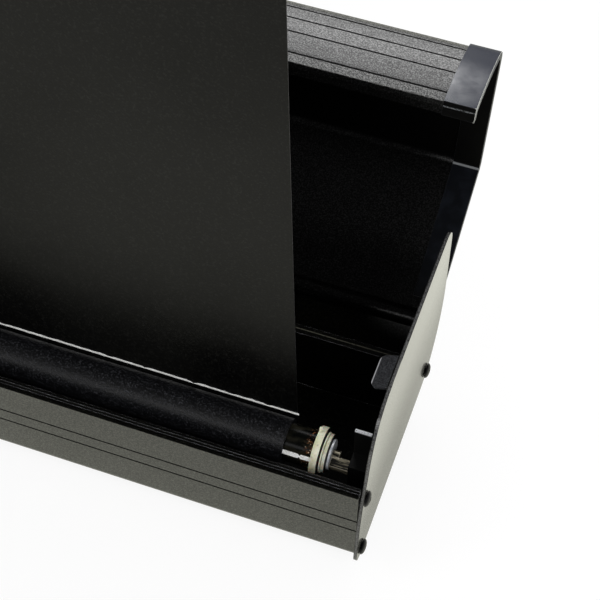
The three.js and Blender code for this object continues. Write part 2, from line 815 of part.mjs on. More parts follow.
function barCap(side) {
  const inset = barWall + seatGap;
  const start = barHalf + seatGap;
  const rod = clampRodRadius * 2 + 2 * seatGap;
  const spigot = roundedRectangle(barFrontY + inset, barBottom + inset + rod,
    barFrontY + barDepth - inset, barBottom + barHeight - inset, barInnerCorner);
  return mirrored(joined(alongX(topBarShape(), start, start + barCapLength),
    alongX(spigot, start - barCapSpigot, start + barCapLength / 2)), side);
}
for (const [end, side] of ends) piece(`top_bar_cap_${end}`, barCap(side), blackPlastic());

const rodCentre = barBottom + barWall + seatGap + clampRodRadius;
piece('fabric_clamp_rod', rodX(clampRodRadius, -fabricHalf, fabricHalf, fabricY + fabricThickness / 2,
  rodCentre, smallArcSteps), brightSteel());

// Pull grip on top of the bar
function liftGrip() {
  const bottom = barBottom + barHeight + seatGap;
  const plate = roundedRectangle(-gripWidth / 2, bottom, gripWidth / 2, bottom + gripHeight, gripCorner);
  const slotBottom = bottom + (gripHeight - gripSlotHeight) * gripSlotRiseShare;
  const slot = roundedRectangle(-gripSlotWidth / 2, slotBottom, gripSlotWidth / 2,
    slotBottom + gripSlotHeight, gripSlotHeight / 2);
  const middle = barFrontY + barDepth / 2;
  const upright = alongY(plate, middle - gripThickness / 2, middle + gripThickness / 2);
  const flange = block(-gripWidth / 2, gripWidth / 2, middle - gripFlange / 2, middle + gripFlange / 2,
    bottom, bottom + gripThickness / 2);
  return cut(joined(upright, flange),
    alongY(slot, middle - gripThickness, middle + gripThickness));
}
piece('lift_grip', liftGrip(), blackPlastic());

// Fabric: one flat sheet from the roll up into the bar
piece('screen_fabric', block(-fabricHalf, fabricHalf, fabricY, fabricY + fabricThickness, rollerZ,
  rodCentre - clampRodRadius - seatGap), blackFabric());

// Carry handle: a bail that hangs on the front face
const handleY = faceSetback - seatGap - handleStandoff;

function handleLine() {
  const x = handleSpan / 2;
  const z0 = handlePivotHeight;
  const low = z0 - handleDrop;
  const r = handleBendRadius;
  const path = new THREE.CurvePath();
  const point = (px, pz) => new THREE.Vector3(px, handleY, pz);
  path.add(new THREE.LineCurve3(point(-x, z0), point(-x, low + r)));
  path.add(new THREE.QuadraticBezierCurve3(point(-x, low + r), point(-x, low), point(r - x, low)));
  path.add(new THREE.LineCurve3(point(r - x, low), point(x - r, low)));
  path.add(new THREE.QuadraticBezierCurve3(point(x - r, low), point(x, low), point(x, low + r)));
  path.add(new THREE.LineCurve3(point(x, low + r), point(x, z0)));
  return path;
}


function carryHandle() {
  const bail = new THREE.ExtrudeGeometry(wireSection(handleRadius, smallArcSteps), {
    extrudePath: handleLine(), steps: handleSteps, bevelEnabled: false,
  });
  const x = handleSpan / 2;
  const stubs = [-1, 1].map(side => rodX(handleRadius, side > 0 ? x - handleRadius : -x - handleEyeWidth,
    side > 0 ? x + handleEyeWidth : handleRadius - x, handleY, handlePivotHeight));
  return joined(bail, ...stubs);
}
piece('carry_handle', carryHandle(), paintedSteel());
piece('handle_grip', alongX(ringShape(handleY, handlePivotHeight - handleDrop, handleGripRadius,
  handleRadius + 2 * seatGap), -handleGripLength / 2, handleGripLength / 2, arcSteps), blackRubber());

function handleMount(side) {
  const middle = handleSpan / 2 + handleRadius + seatGap + handleEyeWidth / 2;
  const back = faceSetback - seatGap;
  const body = joined(
    block(middle - handlePadWidth / 2, middle + handlePadWidth / 2, back - handlePad, back,
      handlePivotHeight - handlePadHeight / 2 - handlePadDrop,
      handlePivotHeight + handlePadHeight / 2 - handlePadDrop),
    block(middle - handleEyeWidth / 2, middle + handleEyeWidth / 2, handleY, back - handlePad / 2,
      handlePivotHeight - handleEyeRadius, handlePivotHeight + handleEyeRadius),
    rodX(handleEyeRadius, middle - handleEyeWidth / 2, middle + handleEyeWidth / 2, handleY,
      handlePivotHeight));
  const bore = rodX(handleRadius + seatGap, handleSpan / 2,
    middle + handleEyeWidth / 2 - handlePad / 2, handleY, handlePivotHeight);
  return mirrored(cut(body, bore), side);
}
for (const [end, side] of ends) piece(`handle_mount_${end}`, handleMount(side), blackPlastic());

// Latches: a lever between two ears on the front face
function latchBase(x) {
  const back = faceSetback - seatGap;
  const front = back - latchBaseSheet;
  const earY = back - latchPivotStandoff;
  const ear = from => joined(
    rodX(latchEarRadius, from, from + latchEar, earY, latchPivotHeight),
    block(from, from + latchEar, earY, front + latchBaseSheet / 2, latchPivotHeight - latchEarRadius,
      latchPivotHeight + latchEarRadius));
  const left = -latchWidth / 2 - latchEar - seatGap;
  const body = joined(
    block(left, -left, front, back, latchBaseFoot, latchBaseTop), ear(left), ear(-left - latchEar));
  return cut(body, rodX(latchStudRadius + seatGap, left - overrun, -left + overrun, earY,
    latchPivotHeight)).translate(x, 0, 0);
}

function latchLever(x) {
  const pivotY = faceSetback - seatGap - latchPivotStandoff;
  const barrel = latchEarRadius - latchRunning;
  const w = latchWidth / 2 - seatGap;
  const studs = latchWidth / 2 + latchEar;
  const front = pivotY - barrel;
  const top = latchPivotHeight + latchLeverHeight;
  const plate = band([at(front, latchPivotHeight), at(front, top - latchLeverCurl),
    at(front - latchLeverCurl, top)], -latchLeverSheet, 0);
  return joined(
    rodX(barrel, -w, w, pivotY, latchPivotHeight),
    rodX(latchStudRadius, -studs, studs, pivotY, latchPivotHeight),
    alongX(plate, -w, w)).translate(x, 0, 0);
}

for (const [end, side] of ends) {
  const x = side * (half - latchInset);
  piece(`latch_base_${end}`, latchBase(x), brightSteel());
  piece(`latch_lever_${end}`, latchLever(x), brightSteel());
}

// Swivel feet: a flat bar on a riveted pin under the case, with a rubber pad near each end
const footBottom = footTop - footThickness;

function footBar() {
  const shape = roundedRectangle(-footWidth / 2, -footLength / 2, footWidth / 2, footLength / 2,
    footCorner);
  const stems = [-1, 1].map(side => rodZ(padStem + seatGap, footBottom - overrun, footTop + overrun, 0,
    side * (footLength / 2 - padInset - padLength / 2), smallArcSteps));
  const bore = rodZ(footPinRadius + footPinRunning, footBottom - overrun, footTop + overrun, 0, 0);
  return cut(alongZ(shape, footBottom, footTop), bore, ...stems);
}

function footPad(place) {
  const top = footBottom - seatGap;
  const y = place * (footLength / 2 - padInset - padLength / 2);
  const pad = alongZ(roundedRectangle(-padWidth / 2, y - padLength / 2, padWidth / 2, y + padLength / 2,
    padCorner), top - padHeight, top);
  return joined(pad, rodZ(padStem, top - overrun, footTop, 0, y, smallArcSteps));
}

function footPin() {
  const headTop = floorTop + seatGap;
  return turned([
    [0, footBottom - seatGap - footPinHead], [footPinHeadRadius, footBottom - seatGap - footPinHead],
    [footPinHeadRadius, footBottom - seatGap], [footPinRadius, footBottom - seatGap],
    [footPinRadius, footTop + seatGap], [footHubRadius, footTop + seatGap],
    [footHubRadius, floorUnderside - seatGap], [footPinRadius, floorUnderside - seatGap],
    [footPinRadius, headTop], [footPinHeadRadius, headTop], [footPinHeadRadius, headTop + footPinHead],
    [0, headTop + footPinHead]], 'z', roundSteps);
}

for (const [end, side] of ends) {
  const foot = new THREE.Group();
  foot.position.set(side * (half - footInset), plateDepth / 2, 0);
  inCase.add(foot);
  piece(`foot_pin_${end}`, footPin(), brightSteel(), foot);
  piece(`foot_bar_${end}`, footBar(), paintedSteel(), foot);
  piece(`foot_pad_${end}_front`, footPad(-1), blackRubber(), foot);
  piece(`foot_pad_${end}_rear`, footPad(1), blackRubber(), foot);
}

export default screen;
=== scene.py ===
# %% [markdown]
# # A pull-up projection screen
# A long black case stands on the floor. Its lid is open, and the screen has been pulled up out of it.
# The packed model gives every solid at its real size. This script keeps those solids, rounds their
# edges, gives each its finish, and makes again the round and soft ones that need a finer surface.
# Everything is in metres, with +X along the case, +Y to its back and +Z up.

# %% Load the frame
import math

import bmesh
import bpy
from mathutils import Matrix, Vector, noise


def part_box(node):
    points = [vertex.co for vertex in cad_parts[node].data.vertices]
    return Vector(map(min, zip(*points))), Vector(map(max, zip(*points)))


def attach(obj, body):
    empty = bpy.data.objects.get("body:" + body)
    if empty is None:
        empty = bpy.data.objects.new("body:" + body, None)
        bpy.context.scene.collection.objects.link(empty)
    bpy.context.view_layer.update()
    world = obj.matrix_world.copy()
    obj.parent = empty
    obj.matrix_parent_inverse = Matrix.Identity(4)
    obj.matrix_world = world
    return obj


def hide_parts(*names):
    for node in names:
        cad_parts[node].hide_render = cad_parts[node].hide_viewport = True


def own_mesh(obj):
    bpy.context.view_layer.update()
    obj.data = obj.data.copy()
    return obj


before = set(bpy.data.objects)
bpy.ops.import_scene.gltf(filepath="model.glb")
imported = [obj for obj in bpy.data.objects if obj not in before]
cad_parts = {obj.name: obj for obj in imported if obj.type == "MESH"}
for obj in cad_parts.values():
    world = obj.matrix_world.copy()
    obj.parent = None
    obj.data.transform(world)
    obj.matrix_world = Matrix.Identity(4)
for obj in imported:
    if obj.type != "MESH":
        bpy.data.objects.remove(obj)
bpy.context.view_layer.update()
mm = 0.001
plate_low, plate_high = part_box("end_plate_right")


def in_case(x, y, z):
    """A point given in millimetres from the middle, front edge and foot of the end plates."""
    return Vector((x * mm, plate_low.y + y * mm, plate_low.z + z * mm))


# %% [markdown]
# ## Camera
# The photo looks down on the right end of the case. Its viewpoint comes from the straight edges that
# run along and across the case: they fix the direction, and the size of the end plate fixes the
# distance. The lens is long, so the edges stay almost parallel.

# %% Camera
photo_width_px = 600
focal_px = 1540
sensor_mm = 36
camera_azimuth = math.radians(19.6)
camera_elevation = math.radians(54.7)
camera_place = Vector((1.0013, -0.4668, 0.8373))

camera_data = bpy.data.cameras.new("camera")
camera_data.sensor_width = sensor_mm
camera_data.lens = focal_px * sensor_mm / photo_width_px
camera_data.clip_start = 0.01
camera = bpy.data.objects.new("camera", camera_data)
bpy.context.scene.collection.objects.link(camera)
backwards = Vector((math.sin(camera_azimuth) * math.cos(camera_elevation),
                    -math.cos(camera_azimuth) * math.cos(camera_elevation), math.sin(camera_elevation)))
camera.location = camera_place
camera.rotation_mode = "QUATERNION"
camera.rotation_quaternion = backwards.to_track_quat("Z", "Y")
bpy.context.scene.camera = camera
bpy.context.scene.view_settings.view_transform = "Standard"
print("lens", round(camera_data.lens, 1), "mm")

# %% [markdown]
# ## Sums on sockets
# A finish mixes noises, masks and places, and that is easier to read as a sum than as a list of
# nodes and links. `Wire` wraps one socket, and each operator on it adds the Math node that works it
# out. `Nodes` adds any other node to a tree, and `Finish` is the tree of one material.


# %% A value in a sum
class Wire:
    """A value in a node tree that can stand in a sum."""

    def __init__(self, nodes, socket):
        self.nodes = nodes
        self.socket = socket

    def maths(self, operation, *terms):
        return self.nodes.node("ShaderNodeMath", {"operation": operation}, dict(enumerate(terms)))

    def __add__(self, other):
        return self.maths("ADD", self, other)

    def __sub__(self, other):
        return self.maths("SUBTRACT", self, other)

    def __rsub__(self, other):
        return self.maths("SUBTRACT", other, self)

    def __mul__(self, other):
        return self.maths("MULTIPLY", self, other)

    __radd__ = __add__
    __rmul__ = __mul__

    def size(self):
        return self.maths("ABSOLUTE", self)

    def wave(self):
        return self.maths("SINE", self)

    def least(self, other):
        return self.maths("MINIMUM", self, other)

    def ramp(self, low, high):
        """0 below low, 1 above high, and smooth between; low may be the larger of the two."""
        return self.nodes.node("ShaderNodeMapRange", {"interpolation_type": "SMOOTHSTEP"},
                               {"Value": self, "From Min": low, "From Max": high})

    def over(self, edge, blur):
        """1 above an edge and 0 below it, with the step blurred by blur to each side."""
        return self.ramp(edge - blur, edge + blur)

    def under(self, edge, blur):
        """1 below an edge and 0 above it."""
        return self.ramp(edge + blur, edge - blur)

    def near(self, place, reach, blur=0.0001):
        """1 within reach of a place, and 0 further off."""
        return (self - place).size().under(reach, blur)


print("steps on a value:", ", ".join(step for step in vars(Wire) if step[0] != "_"))


# %% A tree and a material
class Nodes:
    """A node tree, and the means to add nodes to it."""

    def __init__(self, tree):
        self.tree = tree

    def node(self, kind, settings=None, values=None, output=0):
        """Adds a node: its own settings first, then the values or links of its sockets."""
        made = self.tree.nodes.new(kind)
        for key, value in (settings or {}).items():
            setattr(made, key, value)
        for key, value in (values or {}).items():
            if isinstance(value, Wire):
                self.tree.links.new(value.socket, made.inputs[key])
            else:
                made.inputs[key].default_value = value
        return Wire(self, made.outputs[output])


class Finish(Nodes):
    """A material on a Principled shader."""

    def __init__(self, name, **constants):
        self.material = bpy.data.materials.new(name)
        self.material.use_nodes = True
        super().__init__(self.material.node_tree)
        self.tree.nodes.clear()
        self.shader = self.tree.nodes.new("ShaderNodeBsdfPrincipled")
        self.output = self.tree.nodes.new("ShaderNodeOutputMaterial")
        self.tree.links.new(self.shader.outputs["BSDF"], self.output.inputs["Surface"])
        for key, value in constants.items():
            self.shader.inputs[key.replace("_", " ")].default_value = value

    def place(self):
        """Where a point of the piece is, in the model's own frame."""
        return self.node("ShaderNodeTexCoord", output="Object")

    def along(self, axis):
        return self.node("ShaderNodeSeparateXYZ", None, {0: self.place()}, output=axis)

    def scaled(self, *sizes):
        return self.node("ShaderNodeVectorMath", {"operation": "DIVIDE"}, {0: self.place(), 1: sizes})

    def noise(self, size, detail=2.0, roughness=0.5, stretch=(1, 1, 1)):
        """Cloudy noise from 0 to 1 whose clouds are about size metres across."""
        return self.node("ShaderNodeTexNoise", None, {
            "Vector": self.scaled(*(size / s for s in stretch)), "Scale": 1.0, "Detail": detail,
            "Roughness": roughness})

    def cells(self, size):
        """Distance from the nearest of many scattered points, for specks and pores."""
        return self.node("ShaderNodeTexVoronoi", None,
                         {"Vector": self.scaled(size, size, size), "Scale": 1.0})

    def mix(self, share, first, second):
        """A colour between two: share 0 is the first, share 1 the second."""
        return self.node("ShaderNodeMix", {"data_type": "RGBA"}, {0: share, 6: first, 7: second}, output=2)

    def give(self, socket, wire):
        self.tree.links.new(wire.socket, self.shader.inputs[socket])

    def bump(self, height, depth):
        """Bumps the surface by a height from 0 to 1 that stands for depth metres."""
        self.give("Normal", self.node("ShaderNodeBump", None,
                                      {"Strength": 1.0, "Distance": depth, "Height": height}))

    def done(self, colour, roughness, height=None, depth=0.0):
        """Gives the colour, the roughness and the bump, if there is one, and returns the material."""
        self.give("Base Color", colour)
        self.give("Roughness", roughness)
        if height:
            self.bump(height, depth)
        return self.material


print("steps of a finish:", ", ".join(step for step in vars(Finish) if step[0] != "_"))


# %% Colours
def tone(red, green, blue):
    """A colour as a camera shows it, from 0 to 255, as the linear colour that a shader takes."""
    return tuple((c / 255 / 12.92 if c < 10.3 else ((c / 255 + 0.055) / 1.055) ** 2.4)
                 for c in (red, green, blue)) + (1.0,)


print("a middle grey of 128 is", round(tone(128, 128, 128)[0], 3), "in linear light")

# %% [markdown]
# ## Light and floor
# The photo is a studio shot on a white sweep, with no shadow to speak of. Black paint shows little
# but what it mirrors, so that matters most: the white sweep below and behind the object, the dark room
# above and in front, where the sweep ends, a soft box at the back, which the open lid catches, and one
# above the camera, which puts a sheen on the roll of cloth.
# The world and the floor draw the sweep and the room for mirrored rays. The camera itself sees plain
# white, and all other light is even, with two soft lamps to give the shapes their form.

# %% World
world_level = 0.5
dark_room_level = 0.07
sweep_top, room_foot = 0.22, 0.5
sweep_front, room_front = -0.1, -0.5

world = bpy.data.worlds.new("studio")
bpy.context.scene.world = world
world.use_nodes = True
studio = Nodes(world.node_tree)
rays = studio.tree.nodes.new("ShaderNodeLightPath")
direction = studio.node("ShaderNodeTexCoord", output="Generated")
rise, depth = (studio.node("ShaderNodeSeparateXYZ", None, {0: direction}, output=axis) for axis in "ZY")
sweep = (1 - rise.ramp(sweep_top, room_foot)) * (1 - depth.ramp(sweep_front, room_front))
mirrored_level = sweep * (1 - dark_room_level) + dark_room_level
by_camera, glossy, transmitted = (Wire(studio, rays.outputs[f"Is {kind} Ray"])
                                  for kind in ("Camera", "Glossy", "Transmission"))
by_mirror = (glossy + transmitted).least(1)
by_others = 1 - (by_camera + by_mirror).least(1)
background = studio.tree.nodes["Background"]
background.inputs["Color"].default_value = (1, 1, 1, 1)
level = by_camera + by_mirror * mirrored_level + by_others * world_level
studio.tree.links.new(level.socket, background.inputs["Strength"])
print("even light", world_level)


# %% Lamps and floor
def lamp(name, place, towards, size, power, mirrored=False, lights=True):
    """A soft square lamp. It shows in what mirrors only if it is mirrored, and may do nothing else."""
    data = bpy.data.lights.new(name, "AREA")
    data.shape = "SQUARE"
    data.size = size
    data.energy = power
    made = bpy.data.objects.new(name, data)
    made.location = place
    made.rotation_mode = "QUATERNION"
    made.rotation_quaternion = (Vector(towards) - Vector(place)).to_track_quat("-Z", "Y")
    made.visible_glossy = mirrored
    made.visible_diffuse = lights
    made.visible_camera = False
    bpy.context.scene.collection.objects.link(made)


lamp("right_lamp", (2.6, -1.6, 2.8), (0.4, 0, 0.5), 2.0, 54)
lamp("left_lamp", (-2.8, -1.8, 2.4), (-0.3, 0, 0.6), 2.0, 33)
lamp("front_soft_box", (0.0, -2.39, 2.12), (0.78, -0.05, 0.07), 1.2, 16, mirrored=True, lights=False)
lamp("back_soft_box", (0.18, 2.98, 1.82), (0.8, 0.2, 0.17), 1.9, 51, mirrored=True)

floor_half = 12
floor_shadow_share = 0.2
white_level = 1.06
sweep_tint = (1.1, 1.1, 0.95, 1)
sweep_fade = (-0.45, -0.75)


def floor_paint():
    """White to the camera and to mirrors up to the end of the sweep, with a share of real shadow."""
    paint = Finish("floor", Base_Color=(0.9, 0.9, 0.9, 1), Roughness=0.9, Specular_IOR_Level=0.0)
    path = paint.tree.nodes.new("ShaderNodeLightPath")
    mirrored = Wire(paint, path.outputs["Is Glossy Ray"])
    looked_at = Wire(paint, path.outputs["Is Camera Ray"]) + mirrored
    past_end = paint.along("Y").ramp(*sweep_fade)
    seen_in_paint = paint.mix(past_end, sweep_tint, (dark_room_level,) * 3 + (1,))
    white = paint.node("ShaderNodeEmission", None, {
        "Color": paint.mix(mirrored, (1, 1, 1, 1), seen_in_paint), "Strength": white_level})
    both = paint.node("ShaderNodeMixShader", None, {
        0: looked_at * (1 - floor_shadow_share), 1: Wire(paint, paint.shader.outputs["BSDF"]), 2: white})
    paint.tree.links.new(both.socket, paint.output.inputs["Surface"])
    return paint.material


def linked(name, mesh, *materials):
    """Puts a mesh in the scene as an object."""
    made = bpy.data.objects.new(name, mesh)
    bpy.context.scene.collection.objects.link(made)
    for material in materials:
        mesh.materials.append(material)
    return made


floor_mesh = bpy.data.meshes.new("floor")
floor_corners = [(x * floor_half, y * floor_half, 0) for x, y in ((-1, -1), (1, -1), (1, 1), (-1, 1))]
floor_mesh.from_pydata(floor_corners, [], [(0, 1, 2, 3)])
linked("floor", floor_mesh, floor_paint())
print("lamps:", len(bpy.data.lights))

# %% [markdown]
# ## Powder coats
# Almost everything here is black, so the pieces differ in how they take the light. The case is
# aluminium with a baked powder coat, which has a fine orange-peel grain. A rough black alone would look
# like felt, so the shine comes from a thin coat over the black, and the grain breaks it into specks.
# Each finish varies slightly over the surface, because nothing real is one flat colour.

# %% Powder coats
plate_sheet = 0.002
trough_hollow = (in_case(0, 5.2, 0).y, in_case(0, 137, 0).y)
hollow_fade = 0.0006
case_black, case_grey = tone(4, 4, 3), tone(44, 45, 40)
plate_grey = tone(24, 24, 22)

# The detail and the roughness of two kinds of noise.
gritty, cloudy = (4.0, 0.7), (3.0, 0.6)


def powder_coat(name, colour, pale, shine, speckle, roughness, grain_size, grain_depth, hollow=None,
                **constants):
    """Baked powder. What it mirrors comes from a thin coat that the grain breaks into specks: shine is
    the coat's share in the pits, and speckle what the crests add. Inside a hollow, given as two depths
    in Y, the powder lies thinner and duller."""
    paint = Finish(name, Specular_IOR_Level=0.05, Coat_Roughness=roughness, **constants)
    grain = paint.noise(grain_size, *gritty)
    crests = grain.ramp(0.42, 0.62)
    clouds = paint.noise(0.05, 3.0)
    coat = crests * speckle + clouds * 0.1 + (shine - 0.05)
    if hollow:
        depth = paint.along("Y")
        front, rear = hollow
        deep = depth.ramp(front, front + hollow_fade) * depth.ramp(rear, rear - hollow_fade)
        coat = coat * (1 - deep * 0.6)
    paint.powder = paint.mix(grain.ramp(0.54, 0.74), colour, pale)
    paint.coat = coat
    paint.give("Coat Weight", coat)
    paint.done(paint.powder, clouds * 0.12 + grain * 0.16 + 0.4, grain, grain_depth)
    return paint


def case_coat():
    """The trough, with a painted highlight: a pale broken line along the top of the inner web."""
    paint = powder_coat("case_powder_coat", case_black, case_grey, 0.52, 0.4, 0.3, 0.0011, 0.0003,
                        trough_hollow, Coat_IOR=1.5, Coat_Tint=(0.97, 1, 0.87, 1))
    web_top = in_case(0, 108.2, 60)
    # Painted highlight: a pale line, broken by noise, along the top of the inner web.
    line = paint.along("Y").near(web_top.y, 0.0003) * paint.along("Z").near(web_top.z, 0.0021)
    web_highlight = line * paint.noise(0.0011, *gritty).ramp(0.3, 0.5)
    paint.give("Base Color", paint.mix(web_highlight, paint.powder, tone(84, 83, 74)))
    return paint.material


def edge_highlight_paint():
    """The trough's edges inside the case are greyer: a painted highlight on their roundings, broken up by
    noise. Those in front look like the face."""
    paint = powder_coat("trough_edge", case_black, case_grey, 0.56, 0.4, 0.3, 0.0011, 0.0003, trough_hollow,
                        Coat_IOR=1.5)
    inside = paint.along("Y").ramp(trough_hollow[0], trough_hollow[0] + hollow_fade)
    # Painted highlight on the rounded edges inside the case; the noise breaks it up.
    thin = paint.noise(0.003, *gritty).ramp(0.3, 0.6)
    paler_with_highlight = paint.mix(thin, tone(84, 84, 88), tone(196, 197, 204))
    paint.give("Base Color", paint.mix(inside, tone(6, 6, 5), paler_with_highlight))
    return paint.material


case_paint = case_coat()
trough_edge = edge_highlight_paint()
print("inside the case:", round((trough_hollow[1] - trough_hollow[0]) / mm, 1), "mm from front to back")

# %% [markdown]
# ## The lid's powder
# The lid is one bent profile, so one material has to change from face to face: shiny on the ribs, matt
# and painted near black as shade deep inside, and painted paler as a highlight on the front strip. It
# tells the faces by their heights and depths in the model's frame, with the lid open.

# %% The lid's powder
lid_bend = Vector((0, 0.1602, 0.0979))
lid_lean = 0.25
lid_front = 0.1219
lid_roof = 0.178
lid_top = 0.1892
front_groove = 0.1299
hinge_shade = (0.120, 0.095)
lip_rise = (0.170, 0.175)


def facing_in(y, z, thickness):
    """1 on the side of the lid's leaning back wall that faces into the lid, given the wall's thickness."""
    return (y - (z - lid_bend.z) * lid_lean).under(lid_bend.y + thickness, 0.0002)


def lid_coat():
    """Strong powder outside, thin and matt by the hinge and on the lip, thin, matt and painted near black
    above the bend inside as painted shade, and painted paler on the front strip as a painted highlight.
    """
    paint = powder_coat("lid_powder_coat", tone(1, 1, 1), tone(40, 40, 40), 0.3, 0.7, 0.28, 0.0009, 0.0005,
                        Coat_IOR=1.75)
    y, z = paint.along("Y"), paint.along("Z")
    # Painted shade: the inner face above the bend is painted near black.
    shaded_upper = facing_in(y, z, 0.0025) * z.over(lid_bend.z, 0.001) * z.under(lid_roof, 0.0005)
    by_hinge = y.ramp(*hinge_shade)
    lip = y.under(lid_front, 0.0003) * z.ramp(*lip_rise)
    toward_front = y.under(front_groove, 0.0003) * z.ramp(lid_top - 0.0006, lid_top - 0.0003)
    coat = paint.coat * (1 - (shaded_upper * 0.9 + by_hinge * 0.6 + lip * 0.6).least(0.9))
    paint.give("Coat Weight", (coat * (toward_front * 0.35 + 1)).least(1))
    # Painted highlight: the front strip on top is painted a speckled pale grey, and its coat is raised.
    worn = paint.mix(paint.noise(0.0009, *gritty).ramp(0.45, 0.65), tone(30, 30, 30), tone(112, 112, 110))
    black = paint.mix(toward_front, paint.powder, worn)
    paint.give("Base Color", paint.mix(shaded_upper, black, tone(2, 2, 2)))
    return paint.material


lid_paint = lid_coat()
print("the lid bends", round(lid_bend.z / mm, 1), "mm above the floor")

# %% [markdown]
# ## Painted sheet
# The end plates are steel sheet in the same black. Shears left a rough grey line along their edges, the
# bent tab is paler, and a painted highlight runs round its rim. The arms and feet only need the plain coat,
# finer or coarser.


# %% Painted sheet
def plate_coat():
    """The end plates: powder on smooth sheet, duller towards the foot, paler on the bent tab, and with a
    painted highlight round the tab's rim.
    """
    paint = powder_coat("plate_powder_coat", case_black, plate_grey, 0.5, 0.12, 0.12, 0.0008, 0.00003,
                        Coat_IOR=1.5)
    inner_face = plate_high.x - plate_sheet
    out = paint.along("X").size()
    tab = out.under(inner_face - 0.0006, 0.0003)
    sheared = out.over(inner_face + 0.0003, 0.0001) * out.under(plate_high.x - 0.0003, 0.0001)
    # Painted highlight: the rim of the bent tab is painted light grey.
    tab_rim_highlight = out.ramp(plate_low.x + 0.0008, plate_low.x + 0.0005)
    grain = paint.noise(0.0008, *gritty)
    black = paint.mix(grain.ramp(0.48, 0.7), case_black, plate_grey)
    rough_grey = paint.mix(grain.ramp(0.35, 0.6), tone(24, 24, 25), tone(92, 92, 92))
    paler_with_highlight = paint.mix(grain.ramp(0.4, 0.62), tone(20, 21, 23), tone(54, 55, 58))
    paler_with_highlight = paint.mix(tab_rim_highlight, paler_with_highlight, tone(150, 150, 152))
    paint.give("Base Color", paint.mix(sheared, paint.mix(tab, black, paler_with_highlight), rough_grey))
    height = paint.along("Z").ramp(in_case(0, 0, 20).z, in_case(0, 0, 110).z)
    rear = paint.along("Y").ramp(in_case(0, 60, 0).y, in_case(0, 160, 0).y)
    mottle = paint.noise(0.002, 3.0)
    specks = grain.ramp(0.35, 0.65)
    paint.give("Coat Weight", height * 0.42 + rear * 0.12 + specks * 0.2 + mottle * 0.08 + 0.34)
    return paint.material


def painted_sheet():
    """The roller's brackets: black, with a painted highlight along the top, where the sheared edge of the
    sheet is bare.
    """
    paint = Finish("bracket_paint", Specular_IOR_Level=0.3)
    grain = paint.noise(0.0009, *cloudy)
    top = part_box("roller_bracket_right")[1].z
    # Bare sheared edge along the top, painted near white as a highlight.
    bare = paint.along("Z").over(top - 0.0008, 0.0001) * grain.ramp(0.3, 0.45)
    black = paint.mix(grain, tone(4, 4, 4), tone(14, 14, 14))
    paint.give("Metallic", bare * 0.4)
    return paint.done(paint.mix(bare, black, tone(226, 228, 232)), grain * 0.2 + 0.45, grain, 0.00003)


plate_paint = plate_coat()
# The plates' rounded edges: grey to pale, a painted highlight along them.
plate_edge = powder_coat("plate_edge", tone(70, 70, 72), tone(170, 170, 168), 0.3, 0.4, 0.4,
                         0.0008, 0.0001).material
bracket_paint = painted_sheet()
arm_paint = powder_coat("arm_anodising", tone(24, 24, 25), tone(38, 38, 39), 0.7, 0.2, 0.3,
                        0.0006, 0.00001).material
foot_paint = powder_coat("foot_paint", tone(14, 14, 14), tone(40, 40, 40), 0.5, 0.4, 0.36,
                         0.0010, 0.0001).material
print("paints:", len(bpy.data.materials))

# %% [markdown]
# ## Metal
# The pins and latches are zinc-plated, the screws are blackened, and the roller is a lacquered tube
# that rusts at its end. Full metal deep in a black case mirrors nothing but black, so the washer and the
# flat bar are only part metal, which keeps them as bright as they are in the photo.

# %% Bare and blackened metal
rust_reach = (0.006, 0.001)


def plain_steel(name, colour, dull, roughness):
    """Zinc-plated or drawn steel: faint streaks, with duller patches."""
    paint = Finish(name, Metallic=1.0)
    streaks = paint.noise(0.0015, 4.0, 0.6)
    patches = paint.noise(0.012, 2.0)
    return paint.done(paint.mix(patches.ramp(0.35, 0.7), colour, dull),
                      streaks * 0.16 + patches * 0.14 + (roughness - 0.12), streaks, 0.00001)


def bright_plating(name, colour, dull, metallic, sharpness=(0.35, 0.7), drawn=(1, 1, 1)):
    """Fresh plating or bare steel, bright even where it mirrors the dark; drawn stretches its marks."""
    paint = Finish(name, Metallic=metallic)
    marks = paint.noise(0.002, *cloudy, drawn)
    return paint.done(paint.mix(marks.ramp(*sharpness), colour, dull), marks * 0.2 + 0.2)


def black_oxide():
    """The screws: blackened, oily and almost glossy, with grey scratches on their crowns."""
    paint = Finish("black_oxide", Specular_IOR_Level=0.2)
    scratches = paint.noise(0.0009, *gritty)
    return paint.done(paint.mix(scratches.ramp(0.62, 0.8) * 0.5, tone(8, 8, 8), tone(60, 60, 58)),
                      scratches * 0.2 + 0.25, scratches, 0.00001)


def tube_lacquer():
    """The roller tube: worn black lacquer, chipped and rusty at its very end."""
    paint = Finish("tube_lacquer", Specular_IOR_Level=0.08)
    from_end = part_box("roller_tube")[1].x - paint.along("X").size()
    near_end = from_end.ramp(*rust_reach)
    specks = paint.cells(0.0016).ramp(0.3, 0.14)
    stain = paint.noise(0.004, 4.0, 0.65).ramp(0.54, 0.66)
    rust = (near_end * (specks + stain)).least(1.0)
    smears = paint.noise(0.005, *cloudy, (0.4, 1, 1)).ramp(0.4, 0.7)
    browned = paint.mix(rust, paint.mix(smears, tone(6, 7, 6), tone(34, 32, 24)), tone(140, 88, 52))
    chip = near_end * paint.cells(0.0023).ramp(0.2, 0.1)
    return paint.done(paint.mix(chip, browned, tone(214, 196, 170)), rust * 0.45 + smears * 0.2 + 0.2,
                      rust, 0.0001)


zinc = plain_steel("zinc_plated_steel", tone(205, 203, 196), tone(170, 166, 156), 0.3)
washer_zinc = bright_plating("washer_zinc", tone(246, 249, 252), tone(190, 197, 206), 0.1)
tang_steel = bright_plating("tang_steel", tone(160, 152, 130), tone(22, 20, 15), 0.35, (0.4, 0.54),
                            (0.15, 1.2, 1.2))
